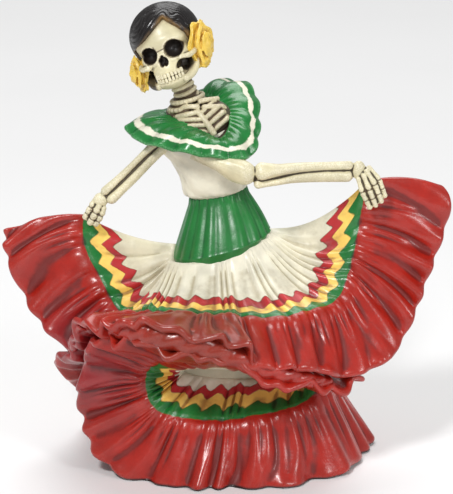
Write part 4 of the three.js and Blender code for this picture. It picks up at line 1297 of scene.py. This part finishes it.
def skull(sizes):
    """The skull with its teeth, and how dark the ink is at each of its points."""
    heart = np.array(SKULL_HEART)
    heading = globe(*SKULL_GRID)
    parts = [skin(heart + heading * skull_reach(heading)[..., None])]
    for side in (-1, 1):
        for path, radii in ((CHEEKBONE, CHEEKBONE_RADII), (JAW, JAW_RADII)):
            parts.append(tube(np.array(path) * (side, 1, 1), radii, 18, 40))
    points, faces = fused(parts, sizes.bone_grain / SHARE)
    ink = np.zeros(len(points))
    for hole in SOCKETS:
        away = in_hole(points, hole)
        rear = hole["middle"][1] + hole["size"][1] * np.sqrt(np.maximum(1 - away**2, 0))
        inside = (away < 1) & (points[:, 1] < rear) & (points[:, 1] < -2)
        points[inside, 1] = rear[inside]
        ink = np.maximum(ink, (points[:, 1] < 0) * (1 - smoothstep(away, 0.96, 1.08)))
    for hole in CHEEK_HOLLOWS:
        share = (1 - smoothstep(in_hole(points, hole), 0.5, 1.0)) * (points[:, 1] < 0)
        points = points + unit(heart - points) * (CHEEK_DEPTH * share)[:, None]
        ink = np.maximum(ink, 0.98 * smoothstep(share, 0.0, 0.6))
    x, y, z = points.T
    ink = np.maximum(ink, 0.8 * (1 - smoothstep(in_hole(points, MOUTH), 0.85, 1.0)) * (y < -4))
    for crease in CREASES:
        off = off_segment(points[:, (0, 2)], *np.array(crease))
        ink = np.maximum(ink, 0.85 * (1 - smoothstep(off, 0.08, 0.22)) * (y < -3))
    ink = np.maximum(ink, 0.97 * smoothstep(-x, 3.0, 3.9) * smoothstep(-z, 2.6, 3.4))
    ink = np.maximum(ink, 0.4 * (1 - smoothstep(hairline_drop(x, z), 0.2, 1.1)) * (y < -2))
    tooth = tooth_form()
    teeth = []
    for drop, size in TOOTH_ROWS:
        line = evenly_along(GUM, 60) + np.array((0, 0.12, drop))
        row = {"Count": sizes.teeth, "Least Size": 0.92 * size, "Most Size": 1.05 * size, "Seed": 3}
        teeth.append(grown(row_tree(), line, tooth, row))
    bare = merge(teeth)
    return merge([(points, faces), bare]), np.concatenate([ink, np.zeros(len(bare[0]))])


def tooth_form():
    """One rounded tooth, wide along X."""
    points, faces = ball((0, 0, 0), (1, 1, 1), 14, 8)
    return np.sign(points) * np.abs(points) ** TOOTH_BOXINESS * np.array(TOOTH), faces


def hairline_drop(x, z):
    """How far each place lies below the hairline, as seen from the front."""
    line = np.array(HAIRLINE, float)
    place = np.stack([x, z], -1)
    off = np.min([off_segment(place, *ends) for ends in zip(line, line[1:])], 0)
    return np.where(z < np.interp(x, line[:, 0], line[:, 1]), off, -off)


def hair():
    """Hair combed from the parting to a bun, with a grain of locks, and a mark where it thins."""
    heading = globe(*HAIR_GRID)
    middle = np.array(HAIR["middle"])
    spokes = heading * np.array(HAIR["size"])
    x, y, z = np.moveaxis(middle + spokes, -1, 0)
    drop = hairline_drop(x, z)
    strand = -drop + 0.9 * np.maximum(y + 3.0, 0)
    wander = 0.5 * np.sin(0.9 * x + 0.4 * y) + 0.3 * np.sin(1.7 * x - 0.8 * z)
    locks = LOCK_HEIGHTS[0] * crest(LOCK_PACES[0] * strand + wander)
    locks = locks + LOCK_HEIGHTS[1] * crest(LOCK_PACES[1] * strand + 2 * wander)
    bare = smoothstep(drop, -0.12, 0.22) * smoothstep(-y, 2.0, 3.0)
    reach = 1 + (locks - 0.1) / 7 - 0.5 * bare
    cap = skin(middle + spokes * reach[..., None])
    thin = smoothstep(drop, -0.75, 0.0) * smoothstep(-y, 1.0, 2.5)
    thin = thin * (0.3 + 0.7 * crest(LOCK_PACES[1] * strand)) * (0.3 + 0.7 * smoothstep(x, 0.3, 1.9))
    tint = np.concatenate([thin.ravel(), [0, 0]])
    heading = heading[::2, ::2]
    angle = np.arctan2(heading[..., 0], heading[..., 2])
    coil = 0.1 * crest(3 * np.arccos(np.clip(heading[..., 1], -1, 1)) + angle / np.pi)
    bun = skin(np.array(BUN["middle"]) + heading * np.array(BUN["size"]) * (1 + coil / 2)[..., None])
    return merge([cap, bun]), np.concatenate([tint, np.zeros(len(bun[0]))])


def petal_form():
    """One cupped petal with a rolled edge, that reaches along X from its foot."""
    s = np.linspace(-1, 1, 11)
    rings = []
    for v in np.linspace(0, 1, 11):
        x = v * (1 - 0.3 * s**2)
        y = 0.72 * math.sin(math.pi * (0.16 + 0.62 * v)) * s
        z = 0.24 * s**2 * v + 0.16 * v**2 - 0.3 * max(v - 0.72, 0) + 0.02 * np.sin(5 * s + 6 * v)
        face = np.stack([x, y, z], -1)
        rings.append(np.concatenate([face, face[::-1] - np.array((0, 0, PETAL_THICKNESS))]))
    return skin(np.array(rings))


def flower(place, sizes):
    """A rose: rings of petals round a bud, pressed flat against the hair."""
    petal = petal_form()
    shells = []
    for i, (fewer, radius, tilt, size, lift) in enumerate(PETAL_RINGS):
        values = {"Count": sizes.petals - fewer, "Radius": radius, "Tilt": tilt, "Size": size}
        values |= {"Seed": PETAL_SEED + i}
        points, faces = grown(whorl_tree(), [(0, 0, 0), (0, 0, 0.1)], petal, values)
        turn = np.array(Euler((0, 0, PETAL_RING_TURN * i)).to_matrix())
        shells.append((points @ turn.T + np.array((0, 0, lift)), faces))
    shells += [ball(*form) for form in BUD]
    points, faces = fused(shells, PETAL_GRAIN)
    deep, wide, tall = place["size"]
    x, y, z = points.T
    local = np.stack([place["side"] * z * deep, x * wide, y * tall], -1)
    lean = np.array(Euler((0, math.radians(place["lean"]), math.radians(place["turn"]))).to_matrix())
    return local @ lean.T + np.array(place["middle"]), faces


def collar_paint(paints):
    """The collar's paint: green with a pale stripe."""
    def make(tree):
        wander = sum_of(tree, "MULTIPLY_ADD", noise(tree, 0.003), 0.16, -0.08)
        level = sum_of(tree, "ADD", read_map(tree)[1], wander)
        first, last = STRIPE
        begun = mask_between(tree, level, first - 0.02, first + 0.02)
        lasting = mask_between(tree, level, last + 0.02, last - 0.02)
        stripe = sum_of(tree, "MULTIPLY", begun, lasting)
        colour = colour_mix(tree, stripe, rgba(paints.green), rgba(paints.cream))
        wash = colour_mix(tree, stripe, rgba(GREEN_WASH), rgba(paints.cream_wash))
        brush = colour_mix(tree, stripe, (0.16, 0.5, 0.2, 1), rgba(CREAM_BRUSH))
        coat = aged(tree, (colour, wash, brush), (0.85, 0.4))
        return coat["Colour"], sum_of(tree, "MULTIPLY_ADD", stripe, 0.15, 0.28), coat["Height"]

    return paint("collar_paint", make, 0.15, 0.22)


def bone_paint(paints):
    """The paint of the bones, stained brown to black where they are inked."""
    def make(tree):
        colours = (rgba(paints.bone), rgba(paints.bone_wash), (0.93, 0.87, 0.7, 1))
        coat = aged(tree, colours, (0.95, 0.5))
        ink = read_mark(tree, INK)
        stain = colour_mix(tree, ink, (0.2, 0.09, 0.025, 1), (0.011, 0.006, 0.003, 1))
        colour = colour_mix(tree, ink, coat["Colour"], stain)
        return colour, sum_of(tree, "MULTIPLY_ADD", coat["Settled And Shaded"], 0.2, 0.42), coat["Height"]

    return paint("bone_paint", make, 0.2, 0.15)


def hair_paint(paints):
    """The hair's paint: black that thins to brown streaks at the hairline."""
    def make(tree):
        # The grey brushed over the crests of the locks is paint and also a painted highlight.
        coat = aged(tree, (rgba(paints.hair), BLACK, (0.18, 0.165, 0.15, 1)), (0.9, 0.14))
        patches = mask_between(tree, noise(tree, 0.003), 0.3, 0.6)
        streaks = sum_of(tree, "MULTIPLY", read_mark(tree, INK), patches)
        colour = colour_mix(tree, streaks, coat["Colour"], (0.24, 0.13, 0.035, 1))
        return colour, sum_of(tree, "MULTIPLY_ADD", streaks, 0.2, 0.25), coat["Height"]

    return paint("hair_paint", make, 0.1, 0.2, bend=1.36)


def length_of(name, description, value, low=0.0, high=0.1):
    """A setting in metres."""
    settings = {"name": name, "description": description, "default": value, "min": low, "max": high}
    return FloatProperty(**settings, precision=5, subtype="DISTANCE", unit="LENGTH")


def colour_of(name, description, value):
    """A setting for a colour."""
    settings = {"name": name, "description": description, "default": value, "min": 0.0, "max": 1.0}
    return FloatVectorProperty(**settings, size=3, subtype="COLOR")


def share_of(name, description, value, high=0.2):
    """A setting without a unit."""
    settings = {"name": name, "description": description, "default": value, "min": 0.0, "max": high}
    return FloatProperty(**settings, subtype="FACTOR")


def power_of(name, description, value):
    """A setting for a lamp, in watts."""
    return FloatProperty(name=name, description=description, default=value, min=0.0, unit="POWER")


def count_of(name, description, value, low, high):
    """A setting for a number of things."""
    return IntProperty(name=name, description=description, default=value, min=low, max=high)


class SkirtSettings(PropertyGroup):
    """Sizes of the skirt's folds and bands"""
    fold_width: length_of("Fold width", "From one fold of a ruffle to the next, at the hem", 0.016, 0.004)
    fold_depth: length_of("Fold depth", "Height of a fold at the hem", 0.0048)
    ripple_depth: length_of("Ripple depth", "Height of the broad waves in the hem", 0.0018)
    fold_droop: share_of("Fold droop", "How many folds the crests sink by at the hem", 0.9, 2.0)
    panel_lift: length_of("Panel lift", "How far the front panel stands over the raised side", 0.003)
    lip_depth: length_of("Lip depth", "Height of the ripples in the hems at the front", 0.0016)
    side_arch: length_of("Side arch", "How far the ruffle's raised sides bow upwards", 0.0022)
    scallop: length_of("Scallop", "How far each fold reaches past the hem", 0.0016)
    gather_depth: length_of("Gather depth", "Height of the fine gathers below the seam", 0.0019)
    pleat_depth: length_of("Pleat depth", "Height of the soft folds in the plain panel", 0.0019)
    tooth_width: length_of("Tooth width", "Width of one tooth of the zigzag", 0.011, 0.002)
    band_width: length_of("Band width", "Height of one painted band", 0.005, 0.001)


class DressSettings(PropertyGroup):
    """Sizes and numbers of the folds in the yoke, the blouse and the collar"""
    yoke_pleats: count_of("Yoke pleats", "Pleats round the green yoke", 20, 6, 30)
    yoke_depth: share_of("Pleat share", "Depth of a pleat as a share of the yoke's width", 0.09)
    wrinkle_depth: share_of("Wrinkle share", "Depth of a wrinkle as a share of the blouse's width", 0.065)
    collar_folds: count_of("Collar folds", "Folds round the collar", 15, 6, 40)
    collar_depth: length_of("Collar depth", "Height of a fold at the collar's edge", 0.0024)
    collar_thickness: length_of("Collar thickness", "Thickness of the collar's cloth", 0.0024, 0.001)


class BoneSettings(PropertyGroup):
    """Numbers of bones, teeth and petals"""
    vertebrae: count_of("Vertebrae", "Rings in the neck", 12, 3, 20)
    rib_pairs: count_of("Rib pairs", "Pairs of ribs that show in the neckline", 4, 2, 8)
    teeth: count_of("Teeth", "Teeth in each row", 9, 5, 16)
    petals: count_of("Petals", "Petals in a flower's outer ring", 6, 5, 12)
    bone_grain: length_of("Bone grain", "Width of the bones' facets", 0.00034, 0.0002, 0.001)


class PaintSettings(PropertyGroup):
    """Colours of the paints"""
    red: colour_of("Ruffle red", "Glossy red of the ruffles", (0.365, 0.012, 0.005))
    band_red: colour_of("Band red", "Red of the upper band", (0.5, 0.026, 0.03))
    yellow: colour_of("Yellow", "Golden yellow of the middle band", (0.97, 0.64, 0.14))
    green: colour_of("Green", "Green of the yoke, the collar and the lower band", (0.008, 0.17, 0.03))
    cream: colour_of("Cream", "Cream of the blouse and the skirt's plain panel", (0.79, 0.755, 0.61))
    cream_wash: colour_of("Cream wash", "Grey brown in the hollows of the cream", (0.36, 0.3, 0.18))
    bone: colour_of("Bone", "Yellowish bone", (0.66, 0.6, 0.385))
    bone_wash: colour_of("Bone wash", "Dark brown between the bones", (0.035, 0.018, 0.006))
    hair: colour_of("Hair", "Black of the hair", (0.012, 0.01, 0.01))
    petal: colour_of("Petals", "Golden yellow of the roses", (0.8, 0.54, 0.075))


class StageSettings(PropertyGroup):
    """The floor's colour and the lights"""
    floor: colour_of("Floor", "Colour of the plain floor", (0.84, 0.84, 0.84))
    key_power: power_of("Key light", "Power of the main light", 8.5)
    fill_power: power_of("Fill light", "Power of the second light", 3.5)
    sky: share_of("Sky", "Strength of the light from all round", 0.35, 2.0)


class DANCER_OT_skirt(Operator):
    """Makes the upper sheet of the skirt, and its train with the core behind it"""
    bl_idname = "dancer.skirt"
    bl_label = "Skirt"

    def execute(self, context):
        sizes = context.scene.dancer_skirt
        coat = skirt_paint(context.scene.dancer_paint)
        shell, maps, boldness = cloth(UPPER_SHEET, sizes)
        piece("skirt_top", shell, coat, maps=maps, ink=boldness)
        train, maps, boldness = cloth(TRAIN_SHEET, sizes)
        core = ringed_skin(CORE, 28, 260, underfolds)
        points, faces = tube(LIP_ROLL, LIP_ROLL_RADII, 36, 300, rippled)
        x, y, z = core[0].T / SHARE
        bowl = (y < BOWL["rear"]) & (z > BOWL["foot"]) & (z < BOWL["top"])
        plain = bowl & (np.abs(x) < BOWL["half_width"]) | (y > CORE_REAR["front"]) & (z > CORE_REAR["foot"])
        levels = np.where(plain, PANEL_LEVEL, RUFFLE_LEVEL)
        levels = np.concatenate([levels, np.full(len(points), RUFFLE_LEVEL)])
        maps = np.vstack([maps, np.stack([np.zeros(len(levels)), levels], 1)])
        boldness = np.concatenate([boldness, np.ones(len(levels))])
        shell = merge([train, core, (points * SHARE, faces)])
        piece("skirt_train", shell, coat, maps=maps, ink=boldness)
        return {"FINISHED"}


class DANCER_OT_dress(Operator):
    """Makes the pleated yoke of the skirt, and the blouse"""
    bl_idname = "dancer.dress"
    bl_label = "Yoke and blouse"

    def execute(self, context):
        sizes = context.scene.dancer_dress
        paints = context.scene.dancer_paint

        def pleats(height, angle):
            turns = sizes.yoke_pleats * angle / (2 * np.pi)
            turns = turns + 0.3 * closed_noise(angle, 9, 61) + 0.25 * height * closed_noise(angle, 5, 62)
            hang = window(height, (0.0, 0.3), (0.62, 0.86), 0.45)
            gathers = smoothstep(height, 0.74, 0.84) * crest(1.7 * turns)
            uneven = 0.6 + 0.5 * closed_noise(angle, 17, 64)
            return sizes.yoke_depth * (hang * uneven * (soft_crest(turns) - MIDDLE) + 0.5 * gathers)

        def wrinkles(height, angle):
            slant = 2.6 * height + 1.5 * np.cos(angle + 0.9) + 0.5 * closed_noise(angle, 5, 63)
            puffs = window(height, (0.05, 0.2), (0.75, 1.0))
            gathers = (1 - smoothstep(height, 0.12, 0.34)) * crest(11 * angle / np.pi)
            return sizes.wrinkle_depth * (puffs * (soft_crest(slant) - MIDDLE) + 0.4 * gathers)

        yoke = ringed_skin(YOKE, 90, 320, pleats)
        green = plain_paint(paints.green, GREEN_WASH, (0.2, 0.5, 0.24), (0.9, 0.55), 0.34)
        piece("yoke", yoke, paint("yoke_paint", green, 0.18, 0.2))
        blouse = ringed_skin(BODICE, 90, 260, wrinkles)
        cream = plain_paint(paints.cream, paints.cream_wash, CREAM_BRUSH, (0.75, 0.4), 0.42)
        piece("blouse", blouse, paint("blouse_paint", cream, 0.2, 0.15))
        return {"FINISHED"}


class DANCER_OT_collar(Operator):
    """Makes the ruffled collar with its pale stripe"""
    bl_idname = "dancer.collar"
    bl_label = "Collar"

    def execute(self, context):
        sizes = context.scene.dancer_dress
        lines = [[rib[row] for rib in COLLAR_RIBS] for row in (0, 1)]
        u = even_shares(lines[1], COLLAR_SECTIONS + 1, True)[0][:-1]
        necks, edges = (SHARE * spline(line, u, True) for line in lines)
        along = np.roll(edges, -1, 0) - np.roll(edges, 1, 0)
        normal = unit(np.cross(along, necks - edges))[:, None]
        reach = unit(edges - necks)[:, None]
        share = np.arange(COLLAR_SECTIONS) / COLLAR_SECTIONS
        angle = 2 * np.pi * share
        turns = (sizes.collar_folds * share + 0.22 * closed_noise(angle, 13, 71))[:, None]
        swell = (1 + 0.3 * closed_noise(angle, 11, 72))[:, None]
        t = np.linspace(0, 1, COLLAR_ROWS)
        fold = sizes.collar_depth * t * swell * crest(turns)
        gathers = COLLAR_GATHERS * (1 - smoothstep(t, 0.1, 0.55)) * crest(GATHERS_PER_FOLD * turns)
        rise = SHARE * COLLAR_RISE * np.sin(np.pi * t) + fold + gathers
        push = COLLAR_SCALLOP * t**3 * (crest(turns) - MIDDLE)
        face = necks[:, None] + (edges - necks)[:, None] * t[None, :, None]
        face = face + normal * rise[..., None] + reach * push[..., None]
        under = (face - normal * sizes.collar_thickness)[:, ::-1]
        up, out, radius = normal[:, 0], reach[:, 0], sizes.collar_thickness / 2
        outer_roll = edge_roll(face[:, -1], up, out, radius)
        neck_roll = edge_roll(face[:, 0], up, -out, radius)[:, ::-1]
        rings = np.concatenate([face, outer_roll, under, neck_roll], 1)
        maps = np.zeros((*rings.shape[:2], 2))
        maps[..., 0] = share[:, None]
        maps[:, : len(t), 1] = t
        maps[:, len(t) : -ROLL_POINTS, 1] = 1.0
        shell = (rings.reshape(-1, 3), strip_faces(COLLAR_SECTIONS, rings.shape[1], True))
        piece("collar", shell, collar_paint(context.scene.dancer_paint), maps=maps.reshape(-1, 2))
        return {"FINISHED"}


class DANCER_OT_bones(Operator):
    """Makes the ribcage, the neck, the arms and the hands"""
    bl_idname = "dancer.bones"
    bl_label = "Ribs, neck, arms and hands"

    def execute(self, context):
        sizes = context.scene.dancer_bones
        parts = [ribcage_heart(), ball(NECK_ROOT["middle"], NECK_ROOT["size"])]
        parts.append(tube(BREASTBONE, (BREASTBONE_RADIUS, 0.85 * BREASTBONE_RADIUS, BREASTBONE_RADIUS)))
        parts += [tube(path, (RIB_RADIUS, RIB_RADIUS)) for path in rib_paths(sizes.rib_pairs)]
        rods = (*COLLARBONES, *foot_rings())
        parts += [tube(path, (COLLARBONE_RADIUS, 0.9 * COLLARBONE_RADIUS)) for path in rods]
        parts += [tube(bone["path"], bone["radii"], swell=knobbly) for bone in ARMS]
        for one, other in ((1, 2), (3, 4)):
            between = (np.array(ARMS[one]["path"]) + np.array(ARMS[other]["path"])) / 2
            parts.append(tube(between + np.array((0, GAP_DEPTH, 0)), (0.9, 0.75, 0.7, 0.75)))
        vertebra = ball((0, 0, 0), (0.78, NECK_RADIUS, 0.96 * NECK_RADIUS), 36, 16)
        neck = {"Count": sizes.vertebrae, "Least Size": 0.95, "Most Size": 1.06, "Seed": 5}
        parts.append(grown(row_tree(), evenly_along(NECK, 40), vertebra, neck))
        parts.append(tube(NECK, (0.85 * NECK_RADIUS, 0.83 * NECK_RADIUS), 32, 40))
        parts.append(shoulders())
        for hand in HANDS:
            parts += finger_bones(hand)
        points, faces = fused(parts, sizes.bone_grain / SHARE)
        paints = context.scene.dancer_paint
        dark = dark_between(points, sizes.rib_pairs)
        piece("bones", (points * SHARE, faces), bone_paint(paints), 50, 0.0003, ink=dark)
        return {"FINISHED"}


class DANCER_OT_head(Operator):
    """Makes the skull with its teeth, the hair and the flowers in it"""
    bl_idname = "dancer.head"
    bl_label = "Skull, hair and flowers"

    def execute(self, context):
        sizes = context.scene.dancer_bones
        paints = context.scene.dancer_paint
        shell, ink = skull(sizes)
        piece("skull", posed(shell), bone_paint(paints), 14, 0.00035, ink=ink)
        locks, tint = hair()
        piece("hair", posed(locks), hair_paint(paints), 10, 0.0002, ink=tint)
        blooms = merge([flower(place, sizes) for place in FLOWERS])
        gold = plain_paint(paints.petal, (0.45, 0.22, 0.02), (0.97, 0.85, 0.35), (0.75, 0.45), 0.4)
        piece("flowers", posed(blooms), paint("petal_paint", gold, 0.2, 0.2), 12, 0.0003)
        return {"FINISHED"}


class DANCER_OT_stage(Operator):
    """Makes the floor, the lights and the camera"""
    bl_idname = "dancer.stage"
    bl_label = "Floor, lights and camera"

    def execute(self, context):
        settings = context.scene.dancer_stage
        scene = context.scene
        scene.view_settings.view_transform = "Standard"
        mesh = bpy.data.meshes.new("floor")
        corners = [(x * FLOOR_REACH, y * FLOOR_REACH, 0) for x, y in ((-1, -1), (1, -1), (1, 1), (-1, 1))]
        mesh.from_pydata(corners, [], [(0, 1, 2, 3)])
        floor = bpy.data.objects.new("floor", mesh)
        scene.collection.objects.link(floor)
        mesh.materials.append(floor_paint(settings.floor))
        for name, place, size, power, factor in LAMPS:
            light = bpy.data.lights.new(name, "AREA")
            light.size = size
            light.energy = factor * getattr(settings, power)
            lamp = bpy.data.objects.new(name, light)
            lamp.location = place
            lamp.rotation_euler = (Vector(LAMPS_AIM) - Vector(place)).to_track_quat("-Z", "Y").to_euler()
            scene.collection.objects.link(lamp)
        world = scene.world or bpy.data.worlds.new("sky")
        scene.world = world
        world.use_nodes = True
        sky = world.node_tree.nodes.get("Background") or world.node_tree.nodes.new("ShaderNodeBackground")
        sky.inputs[0].default_value = (1, 1, 1, 1)
        sky.inputs[1].default_value = settings.sky
        lens = bpy.data.cameras.new("camera")
        lens.lens = CAMERA["lens"]
        camera = bpy.data.objects.new("camera", lens)
        rise = math.radians(CAMERA["elevation"])
        back = Vector((0, -math.cos(rise), math.sin(rise))) * CAMERA["distance"]
        camera.location = Vector(CAMERA["target"]) + back
        camera.rotation_euler = (math.pi / 2 - rise, 0, 0)
        scene.collection.objects.link(camera)
        scene.camera = camera
        return {"FINISHED"}


def floor_paint(colour):
    """The floor's paint: one colour with faint patches."""
    made = bpy.data.materials.new("floor_paint")
    made.use_nodes = True
    tree = made.node_tree
    shader = tree.nodes["Principled BSDF"]
    patches = mask_between(tree, noise(tree, 0.4), 0.2, 0.8)
    shade = tuple(0.97 * part for part in colour)
    feed(tree, shader.inputs["Base Color"], colour_mix(tree, patches, rgba(colour), rgba(shade)))
    feed(tree, shader.inputs["Roughness"], 0.7)
    return made


class DANCER_PT_panel(Panel):
    """Lists the figure's settings and the buttons that build it"""
    bl_idname = "DANCER_PT_panel"
    bl_label = "Skeleton dancer"
    bl_space_type = "VIEW_3D"
    bl_region_type = "UI"
    bl_category = "Dancer"

    def draw(self, context):
        for holder, title in HOLDERS.values():
            box = self.layout.box()
            box.label(text=title)
            for name in getattr(context.scene, holder).__annotations__:
                box.prop(getattr(context.scene, holder), name)
        for operator in OPERATORS:
            self.layout.operator(operator.bl_idname)


HOLDERS = {
    SkirtSettings: ("dancer_skirt", "Skirt"),
    DressSettings: ("dancer_dress", "Dress"),
    BoneSettings: ("dancer_bones", "Bones and flowers"),
    PaintSettings: ("dancer_paint", "Paints"),
    StageSettings: ("dancer_stage", "Stage"),
}
OPERATORS = (
    DANCER_OT_skirt,
    DANCER_OT_dress,
    DANCER_OT_collar,
    DANCER_OT_bones,
    DANCER_OT_head,
    DANCER_OT_stage,
)


def register():
    """Adds the settings, the operators and the panel to Blender."""
    for made in (*HOLDERS, *OPERATORS, DANCER_PT_panel):
        bpy.utils.register_class(made)
    for settings, (holder, _) in HOLDERS.items():
        setattr(bpy.types.Scene, holder, PointerProperty(type=settings))


def unregister():
    """Takes away what register added."""
    for holder, _ in HOLDERS.values():
        delattr(bpy.types.Scene, holder)
    for made in reversed((*HOLDERS, *OPERATORS, DANCER_PT_panel)):
        bpy.utils.unregister_class(made)


def main():
    """Builds the figure and its stage."""
    register()
    for operator in OPERATORS:
        getattr(bpy.ops.dancer, operator.bl_idname.split(".")[1])()


if __name__ == "__main__":
    main()
